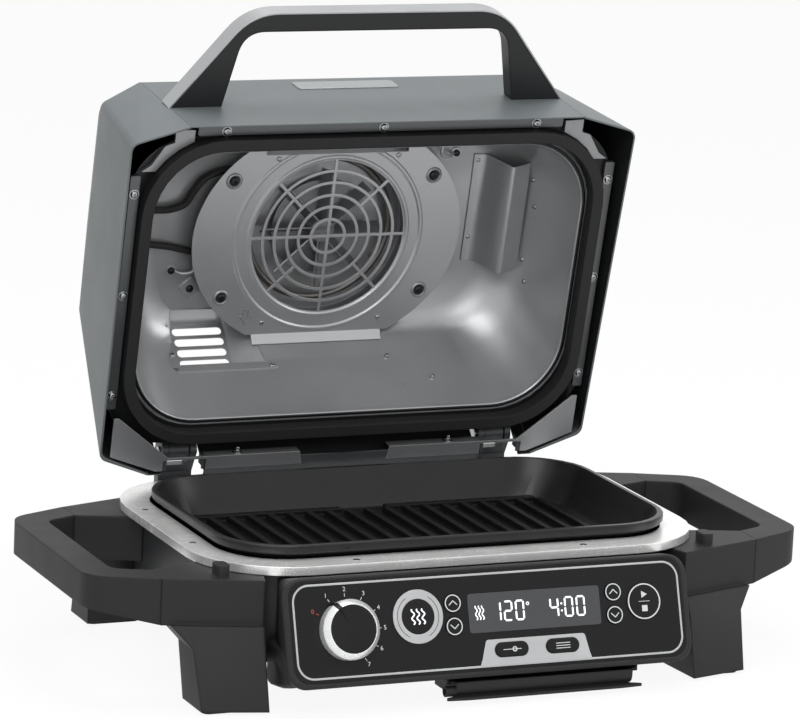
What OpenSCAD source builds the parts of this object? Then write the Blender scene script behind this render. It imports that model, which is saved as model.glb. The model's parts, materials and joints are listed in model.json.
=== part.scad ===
// Electric grill and smoker with a hinged lid, shown with the lid open.
// X runs to the right, Y to the back, Z up. The ground is Z = 0.

/* [Base] */
// Width over the two side handles
overall_w = 715; // [690:1:740]
// Width of the grill plate over its rim
plate_w = 448; // [430:1:460]
// Reach of the grill plate's rim in front of the ring's centre
plate_front = 142; // [134:1:146]
// Reach of the grill plate's rim behind the ring's centre
plate_rear = 131; // [124:1:133]
// Height of the trim ring's top above the ground
ring_z = 125; // [122:0.5:128]
// Depth of the lower tub below the ring
tub_depth = 93; // [84:1:96]
// Pitch of the grill plate's ribs
rib_pitch = 20; // [14:1:26]

/* [Legs and handles] */
// Height of a leg from the foot pad to the seam with its bracket
knee_z = 74; // [68:1:80]
// Thickness of the rubber foot pads
pad_h = 3; // [2:0.5:5]
// Width of the bar of a side handle
grip_w = 30; // [24:1:34]
// Height of the pegs on the front legs
peg_h = 11; // [6:0.5:12]

/* [Panel] */
// Lean of the control panel from the vertical
panel_tilt = 19; // [14:0.5:24]
// Width of the fascia
fascia_w = 388; // [384:1:392]
// Height of the fascia along its slope
fascia_h = 91; // [90:0.5:93]
// Radius of the mode dial
dial_r = 27.2; // [24:0.2:30]
// Height of the mode dial
dial_h = 16; // [12:0.5:20]
// Radius of the four arrow buttons
arrow_r = 8.3; // [7:0.1:9]
// Travel of the push buttons
press = 1; // [0.5:0.1:1.2]

/* [Lid] */
// How far the lid is open in this pose
lid_angle = 78.4; // [60:0.1:84]
// Height of the lid's roof above its lip
lid_h = 238; // [226:1:250]
// Height of the lid's upright front face
face_h = 140; // [132:1:150]
// Width of the lid between its end caps
shell_w = 400; // [392:1:404]
// Sheet thickness of the lid's shell and caps
sheet = 1.2; // [0.8:0.1:2]
// Height of the lid's inner deck above its lip
deck_d = 20; // [19:0.5:22]
// Width of the gasket
gasket_w = 11; // [9:0.5:12]
// Reach of the lid handle in front of the lid
handle_reach = 94; // [80:1:105]
// Thickness of the lid handle
handle_t = 22; // [18:1:26]

/* [Fan] */
// Radius of the grille in the fan cover
grille_r = 79; // [74:1:80]
// Radius of the fan cover
cover_r = 140; // [134:1:144]
// Radius of the fan's blades
fan_r = 62; // [54:1:63]
// Number of fan blades
blades = 8; // [5:1:10]

/* [Hidden] */
$fn = 64;

// Shared clearances
gap = 0.3;
fit = 0.05;

// Plan sizes of ring, gasket and tub follow the grill plate
seal_gap = 1.5;
gasket_x = plate_w/2 + seal_gap;
gasket_y = plate_front + seal_gap;
ring_lip = 12.5;
ring_x = gasket_x + gasket_w + ring_lip;
ring_y = gasket_y + gasket_w + ring_lip;
ring_r = 88;
ring_t = 2;
ring_skirt = 8;
hole_x = plate_w/2 - 2;
hole_y = plate_front - 3;
tub_x = ring_x - 14;
tub_y = ring_y - 16;
tub_r = 76;
tub_wall = 1.2;
tub_z = ring_z - tub_depth;
tub_top = ring_z - ring_t;
brim_z = ring_z - ring_skirt - 0.5;

// Lid and hinge, all in the closed pose
lip_z = ring_z - 6;
lid_y = ring_y + 3;
lid_len = 2*ring_y + 8;
hinge_y = lid_y + 2.2;
hinge_z = lip_z + 33.6;
pin_r = 4;
face_lean = 9;
roof_front = lid_len - 74;
roof_rear = 143;
skirt_d = 11;
skirt_s = -17;
slope = (roof_rear - skirt_s)/(lid_h - skirt_d);
slope_angle = atan(slope);
cap_x = ring_x + 8;
cap_rear_x = ring_x + 3;
corner_s = 1;
corner_d = 8;
cap_mid_s = 96;
cap_round = 10;
cap_top_x = cap_x - 16;
cap_s = lid_len - 14;
ceiling_d = 128;
fan_s = 180;

// Control panel
panel_y = -215.7;
panel_z = 34.3;
fascia_t = 2;
fascia_y0 = -3;
house_x = fascia_w/2 + 6;
house_v0 = -8;
house_v1 = fascia_y0 + fascia_h + 3;
house_t = 4;
house_z = panel_z + house_v0*cos(panel_tilt) - house_t*sin(panel_tilt);
stem_n = -6;
board_t = 1.6;
board_gap = 0.6;
board_n = stem_n - press - board_gap - board_t;
dial_at = [-140.3, 42.4];
smoke_at = [-71.5, 49.9];
temp_x = -36.6;
time_x = 123.5;
up_v = 59.7;
down_v = 38.8;
start_at = [154, 49.2];
start_r = 16.7;
bezel_r = 24.3;
smoke_r = 15.7;
window = [-21.7, 109.7, 31.3, 66.9];
pill_v = 14.7;
pill_x = [17.7, 68.4];
pill = [33, 13];
shaft_r = 3;
encoder_t = 12;

// Legs stand beside the panel; they are mirrored about this plane
legs_y = -12;
leg_gap = 11;
seam_x = tub_x + 61;
leg_in = house_x + leg_gap;
leg_out = tub_x + 35;
leg_front = ring_y + 33;
leg_back = ring_y - 29;

// Storage drawer and grease tray
drawer_x = 52;
drawer_w = 186;
drawer_d = 48;
tray_w = 208;
tray_len = 228;
tray_rear = 170;

// The origin is halfway between the dial's front and the open lid's roof
dial_v = dial_at[1];
front_y = panel_y + dial_v*sin(panel_tilt) - dial_h*cos(panel_tilt) - 19*sin(panel_tilt);
roof_y = hinge_y + (lid_y - roof_rear - hinge_y)*cos(lid_angle) + (lip_z + lid_h - hinge_z)*sin(lid_angle);
mid_y = (front_y + roof_y)/2;

// Points of an arc from angle a to angle b
function arc(c, r, a, b, n = 8) = [for (i = [0:n]) c + r*[cos(a + (b - a)*i/n), sin(a + (b - a)*i/n)]];

// Rounded rectangle between two corners
function round_rect(x0, x1, y0, y1, r, n = 8) = concat(
    arc([x1 - r, y1 - r], r, 0, 90, n), arc([x0 + r, y1 - r], r, 90, 180, n),
    arc([x0 + r, y0 + r], r, 180, 270, n), arc([x1 - r, y0 + r], r, 270, 360, n));

// A path whose inner corners are rounded with radius r
function unit(v) = v/norm(v);
function corner(p, a, b, r, n) =
    let (u = unit(a - p), w = unit(b - p), half = acos(u*w)/2, m = unit(u + w),
         c = p + m*r/sin(half), s = c + (p + u*r/tan(half) - c), e = p + w*r/tan(half),
         a0 = atan2(s[1] - c[1], s[0] - c[0]), a1 = atan2(e[1] - c[1], e[0] - c[0]),
         turn = a1 - a0 > 180 ? a1 - a0 - 360 : a1 - a0 < -180 ? a1 - a0 + 360 : a1 - a0)
    arc(c, r, a0, a0 + turn, n);
function soft_path(p, r, n = 5) = concat([p[0]],
    [for (i = [1:len(p) - 2]) each corner(p[i], p[i - 1], p[i + 1], r, n)], [p[len(p) - 1]]);

// The same path moved sideways by t
function side(a, b) = let (u = unit(b - a)) [-u[1], u[0]];
function shifted(p, t) = [for (i = [0:len(p) - 1])
    let (a = side(p[max(i - 1, 0)], p[max(i, 1)]),
         b = side(p[min(i, len(p) - 2)], p[min(i + 1, len(p) - 1)]), m = a + b)
    p[i] + m*2*t/(m*m)];
function reverse(p) = [for (i = [len(p) - 1:-1:0]) p[i]];
function band(p, t) = concat(p, reverse(shifted(p, t)));
function lift(p, z) = [for (q = p) [q[0], q[1], z]];

// Solid through a stack of rings with equal numbers of points
module skin(rings) {
    n = len(rings[0]);
    m = len(rings);
    polyhedron(points = [for (r = rings) each r], faces = concat(
        [[for (i = [0:n - 1]) i], [for (i = [n - 1:-1:0]) (m - 1)*n + i]],
        [for (j = [0:m - 2]) for (i = [0:n - 1]) let (a = j*n + i, b = j*n + (i + 1)%n)
            each [[a, a + n, b + n], [a, b + n, b]]]));
}

module slab(points, z, t) {
    translate([0, 0, z]) linear_extrude(t) polygon(points);
}

module rod(r, z0, z1) {
    translate([0, 0, z0]) cylinder(r = r, h = z1 - z0);
}

module base_frame() {
    translate([0, -mid_y, 0]) children();
}

// Lid pieces: x across, -y forward from the rear edge, z up from the lip
module lid_frame() {
    base_frame() translate([0, hinge_y, hinge_z]) rotate([-lid_angle, 0, 0])
        translate([0, lid_y - hinge_y, lip_z - hinge_z]) children();
}

// Panel pieces: x across, y up the slope, z out of the panel
module panel_frame() {
    base_frame() translate([0, panel_y, panel_z]) rotate([90 - panel_tilt, 0, 0]) children();
}

// A side profile of (y, z) points, extruded across from x0 to x1
module across(points, x0, x1) {
    translate([x0, 0, 0]) rotate([90, 0, 90]) linear_extrude(x1 - x0) polygon(points);
}

function ring_plan(grow) = round_rect(-ring_x - grow, ring_x + grow, -ring_y - grow, ring_y + grow,
    ring_r + grow);
function tub_plan(grow) = round_rect(-tub_x - grow, tub_x + grow, -tub_y - grow, tub_y + grow, tub_r + grow);

module base_tub() {
    color("#26272a") base_frame() difference() {
        slab(tub_plan(0), tub_z, tub_depth - ring_t);
        slab(tub_plan(-tub_wall), tub_z + tub_wall, tub_depth);
    }
}

module trim_ring() {
    color("#c9cacb") base_frame() difference() {
        slab(ring_plan(0), ring_z - ring_skirt, ring_skirt);
        slab(ring_plan(-1.5), ring_z - ring_skirt - 1, ring_skirt - ring_t + 1);
        slab(round_rect(-hole_x, hole_x, -hole_y, hole_y, ring_r - 26), ring_z - ring_t - 1, ring_t + 2);
    }
}

liner_z = tub_z + 30;
liner_t = 0.8;
stud_top = ring_z - 29;
module base_liner() {
    color("#8b8d8f") base_frame() {
        difference() {
            slab(tub_plan(-4), liner_z, tub_top - liner_z);
            slab(tub_plan(-4 - liner_t), liner_z + liner_t, tub_top);
        }
        for (x = [-1, 1], y = [-1, 1])
            translate([x*hole_x*0.72, y*hole_y*0.6, 0]) rod(6, liner_z + liner_t, stud_top);
    }
}

// A tube of eight sides along a level path
function across_path(p, i) = unit(side(p[max(i - 1, 0)], p[max(i, 1)])
    + side(p[min(i, len(p) - 2)], p[min(i + 1, len(p) - 1)]));
module tube(p, r, z, sides = 8) {
    skin([for (i = [0:len(p) - 1]) let (n = across_path(p, i)) [for (k = [0:sides - 1])
        let (a = 360*k/sides) [p[i][0] + r*cos(a)*n[0], p[i][1] + r*cos(a)*n[1], z + r*sin(a)]]]);
}

element_r = 4;
// Serpentine tube on small posts
module lower_element() {
    bend = 25;
    run = hole_x*0.6;
    tail = 16;
    z = liner_z + liner_t + 12;
    path = [[-run - tail, -3*bend], [run, -3*bend], [run, -bend], [-run, -bend], [-run, bend], [run, bend],
        [run, 3*bend], [-run - tail, 3*bend]];
    color("#55504c") base_frame() {
        tube(soft_path(path, bend - 0.5), element_r, z);
        for (x = [-run*0.7, run*0.7], i = [-3, -1, 1, 3])
            translate([x, i*bend, 0]) rod(2.5, liner_z + liner_t, z);
    }
}

floor_z = stud_top;
floor_t = 5;
rim_z = ring_z + 13;
rim_r = 64;
function plate_ring(inset, z) = lift(round_rect(-plate_w/2 + inset, plate_w/2 - inset,
    -plate_front + inset, plate_rear - inset, rim_r - inset*0.6), z);
module grill_plate() {
    wall = 5;
    foot = 20;
    rib_h = 6;
    rib_len = (plate_front + plate_rear)/2 - foot - wall - 9;
    ribs = floor((plate_w/2 - foot - wall - 8)/rib_pitch);
    ledge_h = 5;
    drain_w = 46;
    color("#1d1d1f") base_frame() {
        skin([plate_ring(foot, floor_z), plate_ring(foot - 3, floor_z + 3), plate_ring(8, ring_z),
            plate_ring(1, rim_z - 8), plate_ring(0, rim_z - 6), plate_ring(0, rim_z - 1),
            plate_ring(1, rim_z), plate_ring(wall, rim_z), plate_ring(wall + 6, ring_z + 2),
            plate_ring(foot + wall - 2, floor_z + floor_t + 3),
            plate_ring(foot + wall + 2, floor_z + floor_t)]);
        translate([0, (plate_rear - plate_front)/2, floor_z + floor_t - 0.5]) {
            for (i = [-ribs:ribs]) translate([i*rib_pitch - 3, 0, 0]) across([[-rib_len, 0],
                [-rib_len + 5, rib_h], [rib_len - 10, rib_h], [rib_len - 5, 0]], 0, 6);
            for (m = [0, 1]) mirror([m, 0, 0]) translate([drain_w/2, rib_len - 3, 0])
                cube([plate_w/2 - rim_r - drain_w/2 + 20, 9, ledge_h]);
        }
    }
}

tray_z = tub_z - 2.6;
tray_h = 20;
tray_t = 1.4;
tray_lip = 8;
module grease_tray() {
    half = tray_w/2;
    front = tray_rear - tray_len;
    color("#3a3b3d") base_frame() {
        difference() {
            slab(round_rect(-half, half, front, tray_rear, 10), tray_z - tray_h, tray_h);
            slab(round_rect(-half + tray_t, half - tray_t, front + tray_t, tray_rear - tray_t, 10 - tray_t),
                tray_z - tray_h + tray_t, tray_h);
        }
        for (m = [0, 1]) mirror([m, 0, 0])
            translate([half - 0.2, front + 12, tray_z - tray_t]) cube([tray_lip, tray_len - 24, tray_t]);
        translate([-45, tray_rear - 0.2, tray_z - 8]) cube([90, 14, 6]);
    }
}

module tray_rails() {
    inner = tray_w/2 + tray_lip + 1;
    z0 = tray_z - tray_t - gap;
    color("#77797b") base_frame() for (m = [0, 1]) mirror([m, 0, 0])
        translate([0, tray_rear - tray_len + 10, 0]) rotate([90, 0, 180]) mirror([1, 0, 0])
            linear_extrude(tray_len - 40) polygon([[inner - 6, z0 - 1.5], [inner - 6, z0], [inner, z0],
                [inner, tub_z], [inner + 2, tub_z], [inner + 2, z0 - 1.5]]);
}

// A front leg on the right: a splayed post under a bracket that hugs the tub's corner
module leg_solid() {
    foot = [[leg_in, -leg_front], [leg_out, -leg_front + 15], [leg_out, -leg_back],
        [leg_in - 4, -leg_back - 6]];
    shin = [[leg_in, -leg_front + 15], [leg_out + 3, -leg_front + 33], [leg_out + 3, -leg_back + 8],
        [leg_in - 2, -leg_back]];
    knee = [[leg_in - 1, -leg_front + 22], [seam_x - 8, -leg_front + 47], [seam_x - 8, -leg_back + 20],
        [leg_in, -leg_back + 10]];
    top = [[leg_in - 2, -leg_front + 27], [seam_x, -leg_front + 55], [seam_x, -leg_front + 88],
        [tub_x + 10, -leg_back + 42], [tub_x - 20, -leg_back + 60], [leg_in - 14, -leg_back + 4]];
    hull() {
        slab(foot, pad_h, 1);
        slab(shin, knee_z - 18, 1);
    }
    hull() {
        slab(shin, knee_z - 18, 1);
        slab(knee, knee_z, 1);
    }
    slab(top, knee_z, brim_z - knee_z);
}

// Cuts a leg back to the tub's wall
module beside_tub() {
    difference() {
        union() children();
        slab(tub_plan(gap), 0, ring_z);
    }
}

module front_leg() {
    peg_y = ring_y - 12;
    beside_tub() leg_solid();
    slab(round_rect(ring_x - 14, ring_x - 2, -peg_y, -peg_y + 18, 4), brim_z - 1, peg_h + 1);
}

module rear_leg() {
    beside_tub() translate([0, 2*legs_y, 0]) mirror([0, 1, 0]) leg_solid();
}

leg_color = "#3c3d3f";
module front_leg_left() { color(leg_color) base_frame() mirror([1, 0, 0]) front_leg(); }
module front_leg_right() { color(leg_color) base_frame() front_leg(); }
module rear_leg_left() { color(leg_color) base_frame() mirror([1, 0, 0]) rear_leg(); }
module rear_leg_right() { color(leg_color) base_frame() rear_leg(); }

// A side handle on the right: a loop cut to a rising lower edge
module side_handle() {
    half_y = leg_front - 55 + legs_y;
    x0 = seam_x + gap;
    out = overall_w/2;
    outer = soft_path([[x0, -half_y], [out, -half_y + 27], [out, half_y - 27], [x0, half_y]], 30);
    inner = soft_path([[x0, -half_y + 33], [out - grip_w, -half_y + 46], [out - grip_w, half_y - 46],
        [x0, half_y - 33]], 14);
    intersection() {
        translate([0, legs_y, 0]) slab(concat(outer, reverse(inner)), knee_z - 1, brim_z - knee_z + 1);
        translate([0, overall_w/2, 0]) rotate([90, 0, 0]) linear_extrude(overall_w)
            polygon([[x0 - 1, knee_z], [out + 1, knee_z + 12], [out + 1, brim_z], [x0 - 1, brim_z]]);
    }
}

module side_handle_left() { color(leg_color) base_frame() mirror([1, 0, 0]) side_handle(); }
module side_handle_right() { color(leg_color) base_frame() side_handle(); }

module foot_pads() {
    inset = 4;
    pad = round_rect(leg_in + inset, leg_out - inset, -leg_front + 18, -leg_back - 8, 6);
    color("#141415") base_frame() for (m = [0, 1]) mirror([m, 0, 0]) {
        slab(pad, 0, pad_h);
        translate([0, 2*legs_y, 0]) mirror([0, 1, 0]) slab(pad, 0, pad_h);
    }
}

function house_plan(inset) = round_rect(-house_x + inset, house_x - inset, house_v0 + inset,
    house_v1 - inset, 18 - inset*0.6);
function fascia_plan(inset) = round_rect(-fascia_w/2 + inset, fascia_w/2 - inset, fascia_y0 + inset,
    fascia_y0 + fascia_h - inset, 15 - inset*0.6);

// Open front shell that the fascia closes
module panel_housing() {
    back_y = tub_y + gap;
    top_z = ring_z - 13;
    wall = 3;
    color("#2b2c2e") difference() {
        hull() {
            panel_frame() slab(house_plan(0), -house_t, house_t - 1.5);
            panel_frame() slab(house_plan(1.5), -1.5, 1.5);
            base_frame() translate([-house_x + 12, -back_y - 2, house_z])
                cube([2*house_x - 24, 2, top_z - house_z]);
        }
        hull() {
            panel_frame() slab(house_plan(9), -house_t, house_t + 1);
            base_frame() translate([-house_x + 15 + wall, -back_y - 6, house_z + wall])
                cube([2*house_x - 30 - 2*wall, 2, top_z - house_z - 2*wall]);
        }
        panel_frame() slab(fascia_plan(-0.15), -fascia_t, fascia_t + 1);
    }
}

function pill_plan(grow) = round_rect(-pill[0]/2 - grow, pill[0]/2 + grow, -pill[1]/2 - grow,
    pill[1]/2 + grow, pill[1]/2 + grow - 0.01);

module panel_fascia() {
    through = fascia_t + 2;
    color("#2e2e30") panel_frame() difference() {
        slab(fascia_plan(0), -fascia_t, fascia_t);
        translate(dial_at) rod(shaft_r + 1, -through, 1);
        translate(smoke_at) rod(smoke_r + gap, -through, 1);
        translate(start_at) rod(start_r + gap, -through, 1);
        for (x = [temp_x, time_x], v = [up_v, down_v]) translate([x, v]) rod(arrow_r + gap, -through, 1);
        for (x = pill_x) translate([x, pill_v]) slab(pill_plan(gap), -through, through + 1);
        slab(round_rect(window[0] - 0.1, window[1] + 0.1, window[2] - 0.1, window[3] + 0.1, 3), -1.2, 2);
    }
}

line_t = 0.4;
line_w = 3;
line_in = 3.3;
module panel_line() {
    color("#c4c5c6") panel_frame() difference() {
        slab(fascia_plan(line_in), 0, line_t);
        slab(fascia_plan(line_in + line_w), -1, line_t + 2);
    }
}

module display_window() {
    color("#3b4650") panel_frame()
        slab(round_rect(window[0], window[1], window[2], window[3], 3), -1.2, 1.5);
}

module control_board() {
    color("#2f5b3c") panel_frame() {
        slab(round_rect(-95, 178, 4, 76, 3), board_n, board_t);
        for (x = [-50, 174], v = [8, 73]) translate([x, v]) rod(2.5, board_n + 1, -fascia_t);
    }
}

module dial_encoder() {
    color("#555759") panel_frame() translate(dial_at) difference() {
        slab(round_rect(-11, 11, -11, 11, 2), -fascia_t - encoder_t, encoder_t);
        rod(shaft_r + fit, -fascia_t - encoder_t + 3, 1);
    }
}

dial_angle = 30;
module dial_cap() {
    r = dial_r - 2.2;
    foot = 0.6;
    color("#1b1b1d") panel_frame() translate(dial_at) {
        rotate_extrude() polygon(concat([[0, foot], [r, foot], [r, dial_h - 5]],
            arc([r - 4, dial_h - 5], 4, 0, 70), [[0, dial_h]]));
        rod(shaft_r, -fascia_t - encoder_t + 4, foot + 1);
    }
}

module dial_ring() {
    color("#c9cacb") panel_frame() translate(dial_at) difference() {
        rod(dial_r, 0.6, dial_h - 6);
        rod(dial_r - 2.1, 0, dial_h);
        rotate([0, 0, 90 + dial_angle]) translate([0, -2.5, 0]) cube([dial_r + 1, 5, dial_h]);
    }
}

module smoke_bezel() {
    color("#c9cacb") panel_frame() translate(smoke_at) difference() {
        rod(bezel_r, 0, 1.4);
        rod(smoke_r + gap, -1, 3);
    }
}

// A push button with a crowned face, its stem inside the housing
module round_button(r, proud) {
    edge = 0.8;
    rotate_extrude() polygon(concat([[0, stem_n], [r, stem_n]],
        arc([r - edge, proud - edge], edge, 0, 90, 4), [[0, proud + 0.3]]));
}

button_color = "#232325";
key_h = 1.2;
module arrow_button(x, v) {
    color(button_color) panel_frame() translate([x, v]) round_button(arrow_r, key_h);
}
module smoke_button() { color(button_color) panel_frame() translate(smoke_at) round_button(smoke_r, 1.6); }
module start_button() { color(button_color) panel_frame() translate(start_at) round_button(start_r, key_h); }
module temp_up() { arrow_button(temp_x, up_v); }
module temp_down() { arrow_button(temp_x, down_v); }
module time_up() { arrow_button(time_x, up_v); }
module time_down() { arrow_button(time_x, down_v); }

plate_t = 0.8;
module probe_plate() {
    v0 = line_w + 0.4;
    v1 = 24.5;
    color("#c4c5c6") panel_frame() difference() {
        slab(soft_path([[40, v1], [-6.7, v1], [-13, v0], [96, v0], [91.3, v1], [42, v1]], 3), 0, plate_t);
        for (x = pill_x) translate([x, pill_v]) slab(pill_plan(gap), -1, 3);
    }
}

module pill_button(x) {
    panel_frame() translate([x, pill_v]) {
        slab(pill_plan(0), stem_n, plate_t + 0.6 - stem_n);
        slab(pill_plan(-0.8), plate_t + 0.5, 0.9);
    }
}
module manual_button() { color(button_color) pill_button(pill_x[0]); }
module preset_button() { color(button_color) pill_button(pill_x[1]); }

rail_drop = 6;
drawer_top = house_z - rail_drop + gap;
drawer_y = panel_y + 4;
module drawer_rails() {
    half = drawer_w/2 + 0.5;
    color("#2b2c2e") base_frame() translate([drawer_x, drawer_y + drawer_d, 0])
        for (m = [0, 1]) mirror([m, 0, 0]) rotate([90, 0, 0]) linear_extrude(drawer_d - 4)
            polygon([[half, house_z], [half + 2, house_z], [half + 2, house_z - rail_drop - 1.5],
                [half - 4, house_z - rail_drop - 1.5], [half - 4, house_z - rail_drop],
                [half, house_z - rail_drop]]);
}

// Trough with a rounded front foot, a lip with pointed ends under it and an open tube at its left end
module probe_drawer() {
    half = drawer_w/2;
    body = half - 5;
    depth = 13;
    wall = 2;
    y0 = drawer_y - 2;
    y1 = drawer_y + drawer_d - 2;
    top = drawer_top + 1.5;
    low = drawer_top - depth;
    foot_r = 9;
    reach = 9;
    tube_r = 5;
    tube_at = [-body - reach, y0 + tube_r + 1, low + tube_r + gap];
    lip_t = 2.5;
    lip_out = 4;
    lip_end = 12;
    trough = concat([[y0, top]], corner([y0, low], [y0, top], [y1, low], foot_r, 6), [[y1, low], [y1, top]]);
    color("#2b2c2e") base_frame() translate([drawer_x, 0, 0]) {
        difference() {
            union() {
                slab(round_rect(-half, half, drawer_y + 2, drawer_y + drawer_d, 3), drawer_top, 1.5);
                across(trough, -body, body);
                translate(tube_at) rotate([0, 90, 0]) cylinder(r = tube_r, h = reach + 1);
                slab([[-body - reach, y0 - lip_out/2], [-body + lip_end, y0 - lip_out],
                    [body - lip_end, y0 - lip_out], [body + reach, y0 - lip_out/2], [body + reach, y0],
                    [body, y0 + lip_out], [body - lip_end, y0 + foot_r], [-body + lip_end, y0 + foot_r],
                    [-body, y0 + lip_out], [-body - reach, y0]], low - lip_t + 1, lip_t);
            }
            across(concat([[y0 + wall, top + 1]], corner([y0 + wall, low + wall], [y0 + wall, top],
                [y1, low + wall], foot_r - wall, 6), [[y1 - wall, low + wall], [y1 - wall, top + 1]]),
                -body + wall, body - wall);
            translate(tube_at - [1, 0, 0]) rotate([0, 90, 0]) cylinder(r = tube_r - 1.6, h = reach);
        }
    }
}

module probe() {
    r = 4.6;
    z = drawer_top - 11 + r + gap;
    color("#1d1d1f") base_frame() translate([drawer_x - drawer_w/2 + 14, drawer_y + 22, z])
        rotate([0, 90, 0]) {
            cylinder(r = r, h = 62);
            cylinder(r = 1.8, h = 155);
        }
}

ear_t = 6;
ear_x = 148;
knuckle_w = 20;
ear_r = 11;
knuckle_r = 9.5;
// Two ears on a post that stands behind the lid's rear edge
module hinge_bracket() {
    post = lid_y + 3;
    back = hinge_y + ear_r;
    foot_z = ring_z - 65;
    shelf = brim_z - 4;
    wide = 2*ear_t + knuckle_w + 2;
    profile = [[tub_y, foot_z], [back, shelf - 14], [back, hinge_z],
        [hinge_y - ear_r*0.75, hinge_z - ear_r*0.6], [post, hinge_z - 22], [post, shelf], [tub_y, shelf]];
    difference() {
        union() {
            across(profile, ear_x, ear_x + wide);
            translate([ear_x, hinge_y, hinge_z]) rotate([0, 90, 0]) cylinder(r = ear_r, h = wide);
        }
        translate([ear_x + ear_t, hinge_y - 40, hinge_z - ear_r - 3]) cube([knuckle_w + 2, 80, 60]);
        translate([ear_x - 1, hinge_y, hinge_z]) rotate([0, 90, 0]) cylinder(r = pin_r + fit, h = 60);
    }
}
module hinge_bracket_left() { color("#4a4b4d") base_frame() mirror([1, 0, 0]) hinge_bracket(); }
module hinge_bracket_right() { color("#4a4b4d") base_frame() hinge_bracket(); }

module hinge_pins() {
    len = 2*ear_t + knuckle_w + 2;
    color("#b5b6b8") base_frame() for (m = [0, 1]) mirror([m, 0, 0])
        translate([ear_x - 2.5, hinge_y, hinge_z]) rotate([0, 90, 0]) {
            cylinder(r = pin_r, h = len + 4);
            cylinder(r = pin_r + 2.5, h = 2);
        }
}

module cord_gland() {
    color("#161617") base_frame() translate([122, tub_y, ring_z - 55]) rotate([-90, 0, 0])
        rotate_extrude() polygon([[4, 0], [12, 0], [12, 4], [8, 5], [7, 14], [4, 14]]);
}

// Lid outline in (s, d): s runs forward from the rear edge, d up from the lip
shell_path = soft_path([[skirt_s, skirt_d], [roof_rear, lid_h], [roof_front, lid_h],
    [lid_len - face_lean, face_h], [lid_len, 0]], 14);
function slope_s(d) = skirt_s + (d - skirt_d)*slope;
function face_s(d) = lid_len - face_lean*d/face_h;
function forward(p) = [for (q = p) [-q[0], q[1]]];

// Vent: a pressed tray in the liner's rear wall whose slotted floor lies behind the shell
vent_at = [-115, 122.5];
vent_side = [-33, 93];
vent_half = 27;
vent_wall = 0.8;
vent_slot = [51, 8.3];
vent_pitch = 12;
vent_slots = 4;
vent_deep = 36;
vent_floor = sheet + gap + vent_wall;
vent_bend = vent_slot[0]/2 + 3;
vent_path = [[vent_side[0], vent_deep], [vent_side[0], vent_floor], [vent_bend, vent_floor],
    [vent_side[1], vent_deep]];
vent_open = vent_slots*vent_pitch/2 - 1;

// Vent pieces: x across, y up the lid's rear slope, z into the lid
module vent_frame() {
    translate([vent_at[0], -slope_s(vent_at[1]), vent_at[1]]) rotate([slope_angle, 0, 0])
        rotate([90, 0, 0]) children();
}
module vent_prism(grow) {
    h = vent_half + grow;
    translate([0, h, 0]) rotate([90, 0, 0]) linear_extrude(2*h) polygon(shifted(vent_path, -grow));
}

// Room in the lid's rear edge for the hinge ears and pins
notch_x = [ear_x - 5, ear_x + 2*ear_t + knuckle_w + 7];
notch_up = ear_r + 2;

module lid_shell() {
    half = shell_w/2 - gap/2;
    color("#75787a") lid_frame() difference() {
        across(forward(band(shell_path, -sheet)), -half, half);
        vent_frame() slab(round_rect(-vent_bend, vent_bend, -vent_open, vent_open, 4), -5, 10);
        for (m = [0, 1]) mirror([m, 0, 0]) translate([notch_x[0], -skirt_s, skirt_d])
            rotate([slope_angle, 0, 0]) translate([0, -10, -10])
                cube([notch_x[1] - notch_x[0], 20, hinge_u + notch_up + 10]);
    }
}

// Solid of an end cap from its seam with the shell to its rounded outer corners
module cap_hull(inset, drop, x0) {
    r = cap_round - inset;
    seam = shifted(shell_path, -inset);
    last = seam[len(seam) - 1];
    top = face_h - 2 - cap_round;
    hull() {
        across(forward(concat([seam[0] - 4*drop*slope_dir], seam, [[last[0], -drop]])), x0, x0 + 0.1);
        translate([cap_x - cap_round, -cap_s + cap_round, -drop]) cylinder(r = r, h = 1, $fn = 32);
        translate([cap_rear_x - cap_round, -corner_s - cap_round, corner_d - 4*drop])
            cylinder(r = r, h = 1, $fn = 32);
        for (s = [cap_s - 8 - cap_round, cap_mid_s + cap_round])
            translate([cap_top_x - cap_round, -s, top]) sphere(r = r, $fn = 32);
    }
}

module lid_cap() {
    x0 = shell_w/2 + gap/2;
    difference() {
        cap_hull(0, 0, x0);
        cap_hull(sheet + 0.4, 1, x0 - 1);
    }
}
module lid_cap_left() { color("#6b6e70") lid_frame() mirror([1, 0, 0]) lid_cap(); }

box_s = [125, 205];
box_d = [34, 100];
box_out = cap_x - 3;
module lid_cap_right() {
    color("#6b6e70") lid_frame() difference() {
        lid_cap();
        translate([cap_x - 40, -box_s[1] - gap, box_d[0] - gap])
            cube([60, box_s[1] - box_s[0] + 2*gap, box_d[1] - box_d[0] + 2*gap]);
    }
}

// Liner bowl: inset of its wall from the mouth at each height
mouth_x = plate_w/2 + 2;
mouth_rear = 30;
mouth_front = lid_len - 30;
deck_s = [mouth_rear - 17.7, lid_len - 18];
bowl = [[0, 0, 0, 0], [0.2, 3, 6, 2], [0.45, 9, 18, 6], [0.68, 18, 31, 12], [0.85, 30, 42, 19],
    [0.95, 44, 50, 27], [1, 60, 62, 38]];
function bowl_ring(row, grow, z) = lift(round_rect(-mouth_x + row[1] - grow, mouth_x - row[1] + grow,
    -mouth_front + row[3] - grow, -mouth_rear - row[2] + grow, 70 - row[1]*0.4), z);
function bowl_z(row, t) = deck_d + t + row[0]*(ceiling_d - deck_d - t);
bowl_t = 0.8;
deck_t = 0.8;
function deck_ring(z) = lift(round_rect(-cap_rear_x + sheet + 3, cap_rear_x - sheet - 3,
    -deck_s[1], -deck_s[0], 60), z);

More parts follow.
